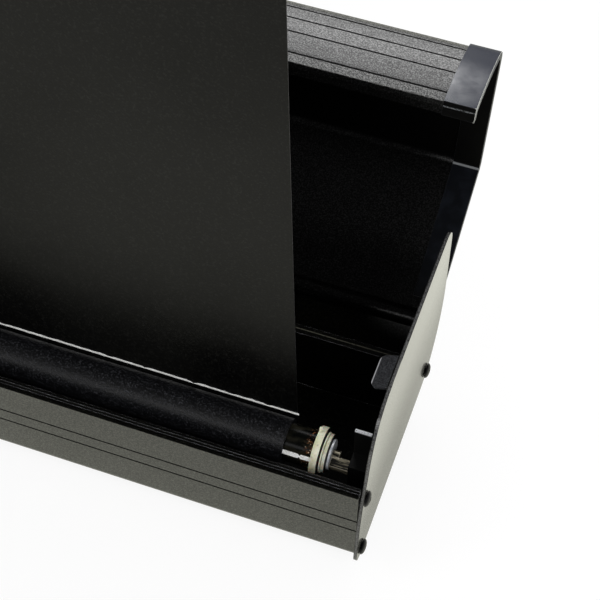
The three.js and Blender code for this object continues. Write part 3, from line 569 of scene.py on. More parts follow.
# The flat bar's rounded edges are painted near white: a painted highlight.
tang_edge = bright_plating("tang_edge", tone(244, 236, 218), tone(190, 174, 150), 0.2)
screw_black = black_oxide()
tube_black = tube_lacquer()
print("paints and metals:", len(bpy.data.materials))

# %% [markdown]
# ## Plastics
# The trims on the lid are satin black plastic, the pads are rubber, and the roller plugs are ivory
# nylon. Moulded pieces are smoother than powder. What makes them look real is a slow change of gloss,
# the marks of hands, and dark lines of painted shade in a groove and between parts.

# %% The trims of the lid
trim_end, trim_rim_start = (0.900, 0.876), 0.8963
trim_grip, trim_lip = (0.164, 0.138), (0.133, 0.124)


def trim_moulding():
    """The trims on the lid and the bar: satin, bluish, with cloudy handling marks. The leaf inside the
    open lid is matt and painted near black above its bend as painted shade, with a painted highlight line
    where its lower part begins. The front of the top is painted near black as shade, with a painted
    highlight line along it."""
    paint = Finish("trim_plastic", Specular_IOR_Level=0.1, Coat_Roughness=0.22, Coat_IOR=1.65,
                   Coat_Tint=(0.88, 0.94, 1, 1))
    marks = paint.noise(0.011, 3.0, 0.55)
    grain = paint.noise(0.0007, 2.0)
    y, z = paint.along("Y"), paint.along("Z")
    inside = facing_in(y, z, 0.0020)
    # Painted shade: the leaf above its bend is painted near black.
    shaded_upper_leaf = inside * z.over(lid_bend.z - 0.0004, 0.0002) * z.under(lid_roof, 0.0005)
    # Painted highlight: a pale line where the leaf's lower part begins.
    leaf_start_highlight = inside * z.near(lid_bend.z - 0.001, 0.0004)
    top = z.ramp(lid_roof, lid_roof + 0.002)
    front = top * y.under(lid_front + 0.0003, 0.0002)
    # Painted shade: the front of the top is painted near black too.
    matt = (shaded_upper_leaf + front).least(1)
    outer_end = paint.along("X").size().ramp(*trim_end)
    toward_front = y.ramp(*trim_grip) * 0.9 + y.ramp(*trim_lip) * 0.4
    coat = (toward_front * top + 0.08) * (outer_end * 0.9 + 0.5) * (marks.ramp(0.3, 0.7) * 0.8 + 0.6)
    paint.give("Coat Weight", coat * (1 - matt * 0.93) * (1 - inside * 0.4))
    slate = paint.mix(marks.ramp(0.42, 0.68), tone(12, 14, 18), tone(20, 23, 29))
    slate = paint.mix(matt, paint.mix(top, slate, tone(26, 32, 50)), tone(4, 4, 4))
    # Painted highlight: a pale broken line along the front of the top.
    ledge_highlight = front * z.near(lid_top - 0.0016, 0.0004) * grain.ramp(0.4, 0.55)
    return paint.done(paint.mix((leaf_start_highlight + ledge_highlight).least(1), slate, tone(120, 122, 124)),
                      marks * 0.3 + grain * 0.05 + 0.3, grain, 0.00001)


def rim_highlight_paint():
    """The edges of the lid's trims: a painted highlight, pale round the outer end and dark grey inside."""
    paint = Finish("trim_rim", Specular_IOR_Level=0.4)
    outer_end = paint.along("X").size().over(trim_rim_start, 0.0003)
    outer_end *= paint.along("Z").over(lid_roof - 0.001, 0.0005)
    rim_noise = paint.noise(0.0016, *cloudy)
    # Painted highlight: pale to white along the rounded edges at the outer end.
    bright = paint.mix(rim_noise, tone(206, 206, 198), tone(250, 250, 244))
    return paint.done(paint.mix(outer_end, tone(40, 41, 44), bright), rim_noise * 0.2 + 0.3)


trim_plastic = trim_moulding()
trim_rim = rim_highlight_paint()
# The trims' edges carry a painted highlight beyond this place.
print("the trims are rubbed bright beyond", trim_rim_start, "m")


# %% Rubber and nylon
def moulded(name, colour, roughness, grain_size, grain_depth):
    """Injection-moulded plastic: smooth, with a faint spark-eroded texture and slow gloss changes."""
    paint = Finish(name)
    grain = paint.noise(grain_size, 2.0)
    flow = paint.noise(0.03, 2.0, 0.4)
    pale = tuple(min(1.0, c * 1.5 + 0.006) for c in colour[:3]) + (1.0,)
    return paint.done(paint.mix(flow.ramp(0.3, 0.8) * 0.6 + grain * 0.2, colour, pale),
                      flow * 0.1 + grain * 0.08 + (roughness - 0.09), grain, grain_depth)


def ivory_nylon():
    """The roller plug: pale nylon, a little see-through, with random grime, and dark lines of painted shade
    in its groove and at the disc's edge by the washer.
    """
    paint = Finish("ivory_nylon", Specular_IOR_Level=0.5, Subsurface_Weight=0.25, Subsurface_Scale=0.003)
    mottle = paint.noise(0.006, *cloudy)
    grime = paint.noise(0.0016, *cloudy).ramp(0.56, 0.74)
    pale = paint.mix(mottle.ramp(0.3, 0.75), tone(244, 242, 222), tone(214, 214, 178))
    out = paint.along("X").size()
    # Painted shade: dark lines in the groove and at the disc's edge next to the washer.
    groove = out.near(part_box("roller_plug_right")[1].x - 0.0013, 0.00045, 0.00015)
    disc_edge = out.near(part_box("tang_collar")[1].x, 0.00035, 0.00015)
    pale = paint.mix(grime * 0.35, pale, tone(112, 108, 78))
    return paint.done(paint.mix((groove + disc_edge).least(1), pale, tone(14, 13, 9)), mottle * 0.15 + 0.3,
                      mottle, 0.00005)


grip_plastic = moulded("grip_plastic", tone(28, 28, 28), 0.42, 0.0009, 0.00003)
pad_rubber = moulded("pad_rubber", tone(26, 26, 26), 0.75, 0.0010, 0.00005)
nylon = ivory_nylon()
print("with plastics:", len(bpy.data.materials))

# %% [markdown]
# ## Screen cloth
# The cloth is a fine weave under a coating. Its front is black at the foot and round the picture, and
# matt white inside, where the projector's light falls. Its back, which is the outside of the roll, is
# a duller black with more of the weave in it. The weave is two waves, across and along, and the
# picture's edges come from a point's place on the cloth.

# %% The front of the cloth
cloth_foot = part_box("screen_fabric")[0].z
cloth_half, _, cloth_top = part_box("screen_fabric")[1]
leader_height = 0.341
picture_height = 0.911
picture_half = 0.81
picture_blur = 0.0006
thread_pitch = 0.0009


def weave(paint, first, second):
    """Threads that cross: high where a thread lies on top."""
    turn = 2 * math.pi / thread_pitch
    return (paint.along(first) * turn).wave() * (paint.along(second) * turn).wave() * 0.5 + 0.5


def front_cloth():
    """The side that is looked at: black with pale nubs, and white where the picture falls."""
    paint = Finish("front_cloth", Specular_IOR_Level=0.14)
    up = paint.along("Z")
    foot = cloth_foot + leader_height
    inside = (paint.along("X").size().under(picture_half, picture_blur) * up.over(foot, picture_blur)
              * up.under(foot + picture_height, picture_blur))
    threads = weave(paint, "X", "Z")
    patches = paint.noise(0.09, 3.0)
    nubs = paint.noise(0.0013, *cloudy)
    paleness = patches.ramp(0.3, 0.7) * 0.3 + nubs.ramp(0.5, 0.72) * 0.7
    black = paint.mix(paleness, tone(2, 2, 2), tone(31, 31, 29))
    white = paint.mix(patches.ramp(0.3, 0.7), tone(228, 228, 225), tone(225, 225, 221))
    return paint.done(paint.mix(inside, black, white), inside * 0.4 + threads * 0.08 + patches * 0.1 + 0.38,
                      threads * 0.3 + nubs * 0.7, 0.00006)


cloth_front = front_cloth()
print("picture", 2 * picture_half, "x", picture_height, "m")


# %% The back of the cloth and the tape
def back_cloth(name, first, second, lint_start, black, pale, roughness, depth, **constants):
    """The other side: threads along two axes, under pale lint that begins where a noise passes a value."""
    paint = Finish(name, **constants)
    threads = weave(paint, first, second)
    lint = paint.noise(0.0011, *gritty).ramp(lint_start, 0.72)
    return paint.done(paint.mix(lint * 0.85 + threads * 0.1, black, pale),
                      threads * 0.12 + lint * (0.6 - roughness) * 2 + roughness,
                      threads * 0.3 + lint * 0.7, depth)


def glowing_white_tape():
    """Cotton tape with a frayed edge: brightest on its ribs, grubby between, and glowing a little, which is
    painted light.
    """
    # The emission is painted light: a faint glow, though the tape is no lamp.
    paint = Finish("glowing_white_tape", Specular_IOR_Level=0.3, Emission_Color=(1, 1, 1, 1),
                   Emission_Strength=0.16)
    ribs = paint.noise(0.0012, *gritty, (0.5, 1, 1))
    return paint.done(paint.mix(ribs.ramp(0.35, 0.6), tone(196, 195, 190), tone(252, 252, 250)),
                      ribs * 0.2 + 0.6, ribs, 0.0001)


cloth_back = back_cloth("back_cloth", "X", "Z", 0.47, tone(8, 8, 9), tone(88, 88, 92), 0.6, 0.00006,
                        Specular_IOR_Level=0.25)
roll_cloth = back_cloth("roll_cloth", "X", "Y", 0.5, tone(1, 1, 2), tone(66, 67, 72), 0.38, 0.00012,
                        Specular_IOR_Level=0.48)
tape = glowing_white_tape()
print("all finishes:", len(bpy.data.materials))

# %% [markdown]
# ## Rounded edges
# The solids have sharp edges, and a sharp edge catches no light. A stack of modifiers rounds them
# and leaves the solid itself alone. Weld joins the split corners, Decimate merges the triangles
# of each flat face, Bevel rounds what is left, and a small node group shades the facets of an arc as
# one curve. The bevel's own faces can take a second, paler finish, which paints a highlight along the edge.

# %% Smooth shading by angle
crease_angle = math.radians(32)


def shading_group():
    """A node group that shades faces smooth, and keeps the edges sharp that turn by more than a crease."""
    group = bpy.data.node_groups.new("shade_by_angle", "GeometryNodeTree")
    group.interface.new_socket("Geometry", in_out="INPUT", socket_type="NodeSocketGeometry")
    group.interface.new_socket("Geometry", in_out="OUTPUT", socket_type="NodeSocketGeometry")
    steps = Nodes(group)
    shape = steps.node("NodeGroupInput")
    smooth = steps.node("GeometryNodeSetShadeSmooth", {"domain": "FACE"}, {"Geometry": shape})
    angle = steps.node("GeometryNodeInputMeshEdgeAngle")
    sharp = steps.node("FunctionNodeCompare", {"operation": "GREATER_THAN"}, {0: angle, 1: crease_angle})
    creased = steps.node("GeometryNodeSetShadeSmooth", {"domain": "EDGE"},
                         {"Geometry": smooth, "Selection": sharp, "Shade Smooth": False})
    end = group.nodes.new("NodeGroupOutput")
    group.links.new(creased.socket, end.inputs[0])
    return group


shade_by_angle = shading_group()


def shade(piece):
    shading = piece.modifiers.new("shading", "NODES")
    shading.node_group = shade_by_angle
    weighted = piece.modifiers.new("flat_faces_stay_flat", "WEIGHTED_NORMAL")
    weighted.keep_sharp = True


print("edges stay sharp from", round(math.degrees(crease_angle)), "degrees")

# %% Solids that keep their shape
bevel_angle = math.radians(38)
flat_angle = math.radians(0.5)
weld_gap = 0.00001
ends = (("right", 1), ("left", -1))


def dress(nodes, material, width, worn=None, segments=2):
    """Gives CAD nodes their finish and rounded edges, and the roundings a paler finish if there is one,
    which paints a highlight along them.
    """
    for name in nodes:
        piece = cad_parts[name]
        piece.data.materials.clear()
        piece.data.materials.append(material)
        # The paler finish on the roundings is a painted highlight.
        if worn:
            piece.data.materials.append(worn)
        weld = piece.modifiers.new("weld", "WELD")
        weld.merge_threshold = weld_gap
        merge = piece.modifiers.new("merge_flats", "DECIMATE")
        merge.decimate_type = "DISSOLVE"
        merge.angle_limit = flat_angle
        bevel = piece.modifiers.new("rounded_edges", "BEVEL")
        bevel.width = width
        bevel.segments = segments
        bevel.limit_method = "ANGLE"
        bevel.angle_limit = bevel_angle
        bevel.material = 1 if worn else 0
        shade(piece)


def both(*stems):
    return [f"{stem}_{end}" for stem in stems for end, side in ends]


dress(["case_trough"], case_paint, 0.0005, trough_edge)
dress(["lid_panel"], lid_paint, 0.0005)
dress(both("end_plate"), plate_paint, 0.0004, plate_edge)
dress(both("lid_end_cap"), trim_plastic, 0.0004, trim_rim)
dress(both("roller_bracket"), bracket_paint, 0.0003)
dress(["roller_tang"], tang_steel, 0.0005, tang_edge)
dress(both("lower_arm", "upper_arm"), arm_paint, 0.0005, zinc)
dress(both("arm_base", "foot_bar"), foot_paint, 0.0005)
dress(["top_bar"], case_paint, 0.0005)
dress(both("top_bar_cap"), trim_plastic, 0.0006)
dress(["lift_grip"], grip_plastic, 0.0009, segments=3)
dress(both("handle_mount"), trim_plastic, 0.0007, segments=3)
dress(both("latch_base", "latch_lever", "latch_keeper"), zinc, 0.0003)
dress([f"foot_pad_{end}_{place}" for end, side in ends for place in ("front", "rear")], pad_rubber, 0.001,
      segments=3)
dress(["spring_shaft", "torsion_spring", "fabric_clamp_rod"], zinc, 0.0002)
dress(["spring_anchor"], nylon, 0.0003)
print("dressed", sum(len(o.modifiers) > 0 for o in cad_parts.values()), "solids")

# %% [markdown]
# ## Round pieces
# The solids draw a round piece with 12 or 24 flats, which is enough for a hole to fit a pin but not
# for the eye. Each round piece is turned again with 96 steps: a profile of radius and place, with its
# corners rounded first, goes round the line that the solid's own box gives.

# %% From a profile to a mesh
round_steps = 96
tip_radius = 0.001
share_of_side = 0.48


def closed_piece(name, points, faces, *materials):
    """Makes a mesh with all its faces turned outwards, and puts it in the scene."""
    mesh = bpy.data.meshes.new(name)
    mesh.from_pydata(points, [], faces)
    shell = bmesh.new()
    shell.from_mesh(mesh)
    bmesh.ops.recalc_face_normals(shell, faces=shell.faces)
    shell.to_mesh(mesh)
    shell.free()
    piece = linked(name, mesh, *materials)
    shade(piece)
    return piece


def skin(name, rings, material, loop=False):
    """Joins rings of points, one after the other, into one closed mesh; a ring of one point is a tip."""
    points, starts, faces = [], [], []
    for ring in rings:
        starts.append(len(points))
        points.extend(ring)
    last = len(rings) - 1
    for a in range(len(rings) if loop else last):
        b = a + 1 if a < last else 0
        here, there = len(rings[a]), len(rings[b])
        around = max(here, there)
        for i in range(around):
            j = (i + 1) % around
            corners = (starts[a] + i % here, starts[a] + j % here,
                       starts[b] + j % there, starts[b] + i % there)
            faces.append(list(dict.fromkeys(corners)))
    if not loop:
        for a in (0, last):
            if len(rings[a]) > 1:
                faces.append(range(starts[a], starts[a] + len(rings[a])))
    return closed_piece(name, points, faces, material)


def softened(profile, radius, steps=3):
    """Rounds each inner corner of a profile with a curve that starts radius before the corner."""
    points = [Vector(p) for p in profile]
    made = [points[0]]
    for before, corner, after in zip(points, points[1:], points[2:]):
        shorter = min((before - corner).length, (after - corner).length)
        reach = min(radius, shorter * share_of_side)
        start = corner + (before - corner).normalized() * reach
        end = corner + (after - corner).normalized() * reach
        for i in range(steps + 1):
            made.append(start.lerp(corner, i / steps).lerp(corner.lerp(end, i / steps), i / steps))
    return made + [points[-1]]


def ring(axis, centre, radius, along, sides=0):
    """A ring about an axis, in millimetres from centre: round, or with flat sides as in a hexagon."""
    count = round_steps if radius >= tip_radius else 1
    points = []
    for turn in (2 * math.pi * i / round_steps for i in range(count)):
        reach = radius
        if sides:
            side_turn = 2 * math.pi / sides
            reach = radius * math.cos(side_turn / 2) / math.cos(turn % side_turn - side_turn / 2)
        across, up = reach * math.cos(turn), reach * math.sin(turn)
        order = {"X": (along, across, up), "Y": (across, along, up), "Z": (across, up, along)}[axis]
        points.append(centre + Vector(order) * mm)
    return points


print("a full turn:", round_steps, "steps")


# %% Turned pieces
def settle(piece, body, slot, *nodes):
    """The piece moves with a body and stands for the solids it replaces, which are hidden; slot is not
    used.
    """
    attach(piece, body)
    if nodes:
        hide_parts(*nodes)
    return piece


def turned(name, profile, axis, centre, material, place, loop=False):
    """A piece turned from a profile of (radius, place along the axis); place is what settle takes."""
    rings = [ring(axis, centre, radius, along) for radius, along in profile]
    return settle(skin(name, rings, material, loop), *place)


def line_of(node):
    """The middle of a round solid's section, at X = 0 of the frame, with its radius in millimetres."""
    low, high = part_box(node)
    return Vector((0, (low.y + high.y) / 2, (low.z + high.z) / 2)), (high.z - low.z) / 2 / mm


def hoop(outer, inner, start, end, easing=0.3):
    """The closed profile of a ring-shaped piece, with its four edges eased."""
    first = (outer, (start + end) / 2)
    return softened([first, (outer, end), (inner, end), (inner, start), (outer, start), first], easing)[:-1]


roller_line, tube_radius = line_of("roller_tube")
tube_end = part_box("roller_tube")[1].x / mm
plug_face = tube_end + 6.3


def about_roller(x, radius, turn):
    """A point in millimetres about the roller's line; turn 0 is to the back, a quarter turn is up."""
    return roller_line + Vector((x, radius * math.cos(turn), radius * math.sin(turn))) * mm


print("roller tube: radius", round(tube_radius, 2), "mm, half length", round(tube_end, 2), "mm")

# %% [markdown]
# ## Roller
# The tube is thin steel, lacquered black. The cloth is stuck to it with white tape, of which a short
# end shows between the roll and the plug as a white strip that is also a painted highlight along the tube.
# The plugs are nylon: the right one has a flange with a small tooth, and the left one ends in a stud. A
# disc and a washer run between the right plug and the bracket, on the flat bar that keeps the spring
# from turning.

# %% Tube and plugs
tube_wall = 1.0
turned("roller_steel_tube", hoop(tube_radius, tube_radius - tube_wall, -tube_end, tube_end), "X",
       roller_line, tube_black, ("roller", "tube_steel", "roller_tube"), loop=True)

flange_radius = 14.5
flange_start = tube_end + 0.3
spigot_start = tube_end - 22
spigot_radius = 10.2
bore_radius = 4.3
bore_seam = spigot_start + 8
stud_radius = 4.0
stud_end = -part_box("roller_plug_left")[0].x / mm
rim_end = flange_start + 4.5
shoulder_radius, groove_radius, groove_end = 12.2, 11.0, rim_end + 0.4
plug_easing = 0.4
body_profile = [(spigot_radius, spigot_start), (spigot_radius, flange_start), (flange_radius, flange_start),
                (flange_radius, rim_end), (groove_radius, rim_end), (groove_radius, groove_end),
                (shoulder_radius, groove_end), (shoulder_radius, plug_face)]
right_profile = softened([(bore_radius, bore_seam), (bore_radius, spigot_start), *body_profile,
                          (bore_radius, plug_face), (bore_radius, bore_seam)], plug_easing)
left_profile = softened([(0, spigot_start), *body_profile, (stud_radius, plug_face),
                         (stud_radius, stud_end), (0, stud_end)], plug_easing)
turned("nylon_plug_right", right_profile[:-1], "X", roller_line, nylon,
       ("roller", "ivory_plastic", "roller_plug_right"), loop=True)
turned("nylon_plug_left", [(r, -x) for r, x in left_profile], "X", roller_line, nylon,
       ("roller", "ivory_plastic", "roller_plug_left"))
print("plug flange:", 2 * flange_radius, "mm across")


# %% Tooth, disc and washer
def small_block(name, size, rounding, material):
    """A block about the origin, in millimetres, with rounded edges."""
    shell = bmesh.new()
    bmesh.ops.create_cube(shell, size=1)
    bmesh.ops.scale(shell, vec=Vector(size) * mm, verts=shell.verts)
    bmesh.ops.bevel(shell, geom=shell.edges[:], offset=rounding * mm, segments=3, profile=0.5,
                    affect="EDGES")
    mesh = bpy.data.meshes.new(name)
    shell.to_mesh(mesh)
    shell.free()
    piece = linked(name, mesh, material)
    shade(piece)
    return piece


tooth_size, tooth_rounding, tooth_turn = (2, 2, 4), 0.4, math.radians(-22)
tooth = small_block("plug_tooth", tooth_size, tooth_rounding, nylon)
tooth.data.transform(Matrix.Translation(roller_line + Vector(((flange_start + 1) * mm, 0, 0)))
                     @ Matrix.Rotation(tooth_turn, 4, "X")
                     @ Matrix.Translation((0, 0, (flange_radius + 0.2) * mm)))
settle(tooth, "roller", "ivory_plastic")

stub_bore = 3.7
for node, name, slot, material in (("tang_collar", "nylon_disc", "ivory_plastic", nylon),
                                   ("tang_washer", "steel_washer", "bright_steel", washer_zinc)):
    low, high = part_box(node)
    profile = hoop((high.z - low.z) / 2 / mm, stub_bore, low.x / mm, high.x / mm)
    turned(name, profile, "X", roller_line, material, ("root", slot, node), loop=True)
print("tooth:", tooth_size, "mm")

# %% [markdown]
# ## Wound cloth
# The roll is one long strip of cloth, so its end shows a spiral. The strip is drawn as that spiral
# and then stretched along the roller, with the turns not quite level at their ends.

# %% Wound cloth
cloth_thickness = 0.5
roll_turns = 4
roll_radius = line_of("fabric_roll")[1]
roll_core = tube_radius + 0.3
roll_half = cloth_half / mm - 0.4
roll_slack = 0.03
end_unevenness = 0.35
stations = 24
lap_steps = 7


def wound_cloth():
    """The spiral as two rows of points for each place along the roller, joined into one thick strip."""
    steps = roll_turns * round_steps
    inner_mid = roll_core + cloth_thickness / 2
    outer_mid = roll_radius - cloth_thickness / 2
    points = []
    for station in range(stations + 1):
        place = -1 + 2 * station / stations
        for i in range(steps + 1):
            turn = 2 * math.pi * i / round_steps
            middle = inner_mid + (outer_mid - inner_mid) * i / steps
            thin = min(1.0, 0.1 + min(i, steps - i) / lap_steps)
            slack = roll_slack * noise.noise((place * 9, turn * 0.5, 4.0))
            ragged = noise.noise((turn * 0.8, 0.0, 2.0 if place > 0 else 6.0))
            x = place * roll_half + end_unevenness * ragged * place ** 12
            for side in (-1, 1):
                radius = middle + slack + side * thin * cloth_thickness / 2
                points.append(about_roller(x, radius, turn))
    row = 2 * (steps + 1)
    faces = []
    for s in range(stations):
        for i in range(steps):
            a = s * row + 2 * i
            for low, high in ((a, a + 2), (a + 1, a + 3)):
                faces.append((low, high, high + row, low + row))
        for a in (s * row, s * row + 2 * steps):
            faces.append((a, a + 1, a + 1 + row, a + row))
    for s in (0, stations):
        for i in range(steps):
            a = s * row + 2 * i
            faces.append((a, a + 1, a + 3, a + 2))
    return closed_piece("wound_cloth", points, faces, roll_cloth)


settle(wound_cloth(), "roller", "leader_fabric", "fabric_roll")
print("wound cloth:", roll_turns, "turns")

# %% Tape on the tube
tape_from, tape_to = cloth_half / mm - 3, flange_start - 0.2
tape_low, tape_high = math.radians(180 - 34), math.radians(180 - 20)
tear_share, tear_depth, tear_width = 0.66, 0.75, 0.5


def tape_strip():
    """The end of the white tape on the tube, with a notch torn in it. This glowing white strip is also a
    painted highlight along the tube.
    """
    columns = 48
    length = tape_to - tape_from
    rings = []
    for i in range(columns + 1):
        x = tape_from + length * i / columns
        torn = tear_depth * math.exp(-((x - (tape_from + tear_share * length)) / tear_width) ** 2)
        ragged = 0.1 * noise.noise((x * 1.7, 3.0, 0.0))
        section = []
        for share, rise in ((0, 0.02), (0, 0.16), (0.5, 0.2), (1, 0.16), (1, 0.02)):
            narrowed = 0.5 + (share - 0.5) * (1 - torn) + ragged * (1 if share > 0.5 else 0)
            turn = tape_low + (tape_high - tape_low) * narrowed
            section.append(about_roller(x, tube_radius + rise, turn))
        rings.append(section)
    return skin("mounting_tape", rings, tape)


settle(tape_strip(), "roller", "leader_fabric")
print("tape:", round(tape_to - tape_from, 1), "mm of it shows")

# %% [markdown]
# ## Raised screen
# The cloth comes off the back of the roll and stands between it and the top bar. It is stretched
# upwards only, so its sides draw in a little at half height, and it isn't perfectly flat. A bare
# plane would show neither. When the arms fold, the cloth winds in; the script only works out how much
# of its height would be left.

# %% Raised screen
necking = 7.0
ripple = 0.9
curl_height, curl_start = 1.4, 0.9
sheet_columns, sheet_rows, wrap_rows = 96, 84, 6
wrap_turn = math.radians(35)
roller_gap = 0.3
rise_length = (cloth_top - cloth_foot) / mm


def sheet_point(across, row, depth):
    """A point of the cloth: across from -1 to 1, a row from the foot up, depth 0 in front and 1 behind."""
    radius = roll_radius + roller_gap + cloth_thickness * depth
    if row < wrap_rows:
        return about_roller(across * cloth_half / mm, radius, -wrap_turn * (1 - row / wrap_rows))
    share = (row - wrap_rows) / sheet_rows
    belly = math.sin(math.pi * share)
    half_width = cloth_half / mm - necking * belly
    waves = (noise.noise((across * 2.6, share * 3.1, 1.0))
             + 0.35 * noise.noise((across * 9.0, share * 4.0, 7.0)))
    curl = curl_height * max(0.0, abs(across) - curl_start) / (1 - curl_start)
    lean = belly * (ripple * waves + curl * curl)
    return roller_line + Vector((across * half_width, radius + lean, share * rise_length)) * mm


def raised_screen():
    """Two layers of points with a rim between them; the front layer takes the front finish."""
    rows = wrap_rows + sheet_rows
    points = [sheet_point(-1 + 2 * column / sheet_columns, row, depth) for depth in (0, 1)
              for row in range(rows + 1) for column in range(sheet_columns + 1)]
    line = sheet_columns + 1
    layer = line * (rows + 1)
    fronts, backs = [], []
    for row in range(rows):
        for column in range(sheet_columns):
            a = row * line + column
            fronts.append((a, a + 1, a + 1 + line, a + line))
            backs.append((a + layer, a + line + layer, a + 1 + line + layer, a + 1 + layer))
    rim = [*range(line), *(line * (r + 1) - 1 for r in range(1, rows + 1)),
           *(rows * line + i for i in range(sheet_columns - 1, -1, -1)),
           *(r * line for r in range(rows - 1, 0, -1))]
    for a, b in zip(rim, rim[1:] + rim[:1]):
        backs.append((a, a + layer, b + layer, b))
    piece = closed_piece("raised_screen", points, fronts + backs, cloth_front, cloth_back)
    for face in piece.data.polygons[len(fronts):]:
        face.material_index = 1
    return piece


screen = settle(raised_screen(), "root", "leader_fabric", "screen_fabric")
print("screen", round(2 * cloth_half, 3), "x", round(rise_length * mm, 3), "m")

# %% [markdown]
# ## Seam
# White tape joins the screen to the cloth on the roll, and its frayed edge shows as a thin broken line
# low on the screen. It is a strip of its own, because paint couldn't stand proud of the cloth. Its
# finish glows a little, which is painted light.

# %% Seam
seam_columns = 700
seam_low, seam_high = 7.2, 8.9
seam_clearance = 0.00002


def seam_line():
    """The frayed white edge of the tape that joins the leader to the cloth on the roll."""
    front = sheet_point(0, wrap_rows, 0).y - roller_line.y
    rings = []
    for i in range(seam_columns + 1):
        x = (-1 + 2 * i / seam_columns) * (cloth_half / mm + 0.8)
        gap = max(0.0, noise.noise((x * 0.13, 2.0, 0.0)) - 0.2)
        fray = noise.noise((x * 0.9, 0.0, 0.0)) * 0.5 + noise.noise((x * 0.21, 5.0, 0.0)) * 0.3 - gap * 3.5
        low, high = seam_low + noise.noise((x * 0.7, 9.0, 0.0)) * 0.25, seam_high + fray
        rings.append([roller_line + Vector((x * mm, front - proud * mm - seam_clearance, z * mm))
                      for z, proud in ((low, 0.0), (low, 0.16), (high, 0.2), (high, 0.0))])
    return skin("seam_line", rings, tape)


seam = settle(seam_line(), "root", "leader_fabric")

# How much height the cloth would keep above its wrap on the roll when the top bar comes down.
bar_drop = 1276
cloth_low = roller_line.z - (roll_radius + roller_gap + cloth_thickness) * math.sin(wrap_turn) * mm
full_height = (cloth_top - cloth_low) / mm
fold_keep = (full_height - bar_drop) / full_height
for piece in (screen, seam):
    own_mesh(piece)
rise_length * mm + wrap_turn * (roll_radius + roller_gap) * mm
print("folded, the cloth keeps", round(fold_keep * full_height, 1), "mm of its height")

# %% [markdown]
# ## Screws and pins
# Three button-head screws hold each end plate. Their heads are low domes with a hexagonal socket. The
# arms turn on riveted pins, and each foot on a heavier one. All are turned from profiles as well, and
# the socket is two rings with six sides.

# %% Screws
screw_profile = [(0, -16), (2.1, -16), (2.1, 0.3), (4.8, 0.3), (4.8, 0.95), (4.45, 1.55), (3.6, 2.12),
                 (2.9, 2.4), (2.3, 2.5)]
screw_easing = 0.2
socket_radius, socket_floor, head_top = 1.9, 1.3, 2.5
plate_face = plate_high.x


def button_screw(name, side, place):
    profile = softened(screw_profile, screw_easing)
    rings = [ring("X", place, radius, along * side) for radius, along in profile]
    rings += [ring("X", place, socket_radius, along * side, sides=6) for along in (head_top, socket_floor)]
    rings.append(ring("X", place, 0, socket_floor * side))
    return skin(name, rings, screw_black)


for end, side in ends:
    for i in (1, 2, 3):
        node = f"plate_screw_{end}_{i}"
        place = line_of(node)[0]
        place.x = side * plate_face
        settle(button_screw(f"button_screw_{end}_{i}", side, place), "root", "black_screw", node)
print("screw sockets:", round(2 * socket_radius * math.cos(math.pi / 6), 1), "mm across flats")

# %% Pins
shank_radius, head_radius, head_depth, collar_radius = 4.0, 7.0, 1.8, 9.0
arm_head = [(0, 0), (head_radius * 0.6, 0), (head_radius, head_depth * 0.5), (head_radius, head_depth),
            (shank_radius, head_depth)]
foot_head = [(0, 0), (6, 0), (9, 0.9), (9, 2), (5, 2)]
foot_disc = [(5, -1.7), (15, -1.7), (15, 1.7), (5, 1.7)]
foot_front, foot_rear = -8.3, 6.1
knee_collar, top_collar = (67.3, 69.7), (69.3, 69.7)
pin_easing = 0.3


def headed(head, front, rear, middle):
    """The profile of a pin with the same head at both ends, and what its shank carries between them."""
    front_head = [(radius, front + depth) for radius, depth in head]
    rear_head = [(radius, rear - depth) for radius, depth in reversed(head)]
    return softened(front_head + middle + rear_head, pin_easing)


def rivet(name, node, body, collar=None):
    """A pin along Y with a low domed head at each end, and a collar between its faces if it has one."""
    low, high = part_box(node)
    centre = Vector(((low.x + high.x) / 2, in_case(0, 0, 0).y, (low.z + high.z) / 2))
    front, rear = (low.y - centre.y) / mm, (high.y - centre.y) / mm
    middle = []
    if collar:
        start, end = collar
        middle = [(shank_radius, start), (collar_radius, start), (collar_radius, end), (shank_radius, end)]
    turned(name, headed(arm_head, front, rear, middle), "Y", centre, zinc, (body, "bright_steel", node))


for end, side in ends:
    rivet(f"knee_rivet_{end}", f"knee_pin_{end}", f"{end}_lower_arm", knee_collar)
    rivet(f"top_rivet_{end}", f"top_pin_{end}", "top_bar", top_collar)
    rivet(f"base_rivet_{end}", f"base_pin_{end}", "root")
    low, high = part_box(f"foot_pin_{end}")
    centre = Vector(((low.x + high.x) / 2, (low.y + high.y) / 2, in_case(0, 0, 0).z))
    turned(f"foot_rivet_{end}", headed(foot_head, foot_front, foot_rear, foot_disc), "Z", centre, zinc,
           ("root", "bright_steel", f"foot_pin_{end}"))

# %% [markdown]
# ## Carry handle
# The handle is one bent rod whose ends turn in the two blocks on the front, with a ribbed rubber
# sleeve. A ring of points is carried along the rod's line, square to it at each step.

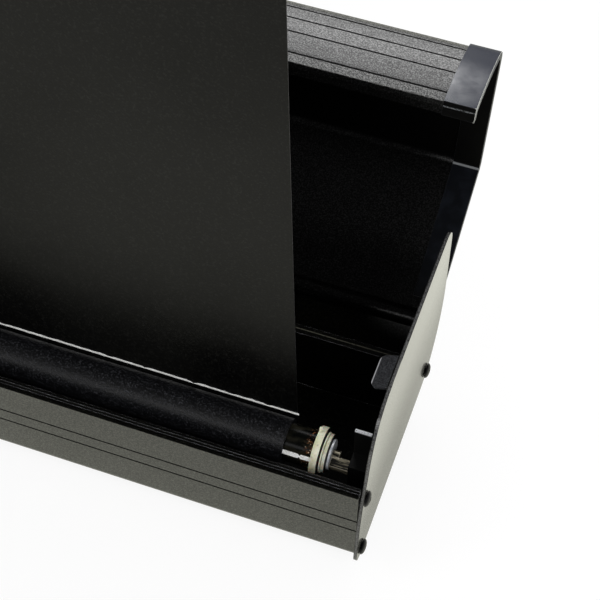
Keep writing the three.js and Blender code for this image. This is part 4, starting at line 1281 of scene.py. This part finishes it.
# %% Carry handle
handle_low, handle_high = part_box("carry_handle")
rod_radius = 4.5
rod_half_span = 75
stub_end = handle_high.x / mm
pivot_height = 56
handle_drop = 40
rod_y = (handle_low.y + handle_high.y) / 2
rod_bottom = pivot_height - handle_drop
bend_radius, bend_steps, rod_sides = 14, 12, 32
rod_side = [(-stub_end, pivot_height), (-rod_half_span, pivot_height), (-rod_half_span, rod_bottom)]
rod_line = softened(rod_side + [(-x, z) for x, z in rod_side[::-1]], bend_radius, bend_steps)


def swept_rod(name, line, radius, material):
    """A round rod along a line of (x, z) points, in case millimetres, at the handle's depth."""
    line = [p for i, p in enumerate(line) if i == 0 or (p - line[i - 1]).length > 0.01]
    rings = []
    for i, point in enumerate(line):
        before, after = line[max(i - 1, 0)], line[min(i + 1, len(line) - 1)]
        way = (after - before).normalized()
        section = []
        for step in range(rod_sides):
            turn = 2 * math.pi * step / rod_sides
            across = radius * math.sin(turn)
            centre = in_case(point.x - way.y * across, 0, point.y + way.x * across)
            section.append(Vector((centre.x, rod_y + radius * math.cos(turn) * mm, centre.z)))
        rings.append(section)
    return skin(name, rings, material)


settle(swept_rod("bent_handle", rod_line, rod_radius, foot_paint), "carry_handle", "black_steel",
       "carry_handle")

sleeve_line, sleeve_radius = line_of("handle_grip")
sleeve_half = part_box("handle_grip")[1].x / mm
sleeve_bore = 5.1
rib_pitch, rib_rise, valley, rib_easing = 6.0, 0.6, 1.0, 0.4
ribs = int(2 * sleeve_half / rib_pitch)
low_radius = sleeve_radius - rib_rise
sleeve_profile = []
for i in range(ribs):
    start = -sleeve_half + i * rib_pitch
    rib_start, rib_end = start + valley + rib_rise, start + rib_pitch - rib_rise
    sleeve_profile += [(low_radius, start), (low_radius, start + valley),
                       (sleeve_radius, rib_start), (sleeve_radius, rib_end)]
sleeve_profile += [(low_radius, sleeve_half), (sleeve_bore, sleeve_half), (sleeve_bore, -sleeve_half)]
turned("ribbed_sleeve", softened([*sleeve_profile, sleeve_profile[0]], rib_easing)[:-1], "X", sleeve_line,
       pad_rubber, ("carry_handle", "rubber", "handle_grip"), loop=True)
print("sleeve:", ribs, "ribs")

# %% [markdown]
# ## The box of the solids
# The dressed model must stay inside the box of the solids.
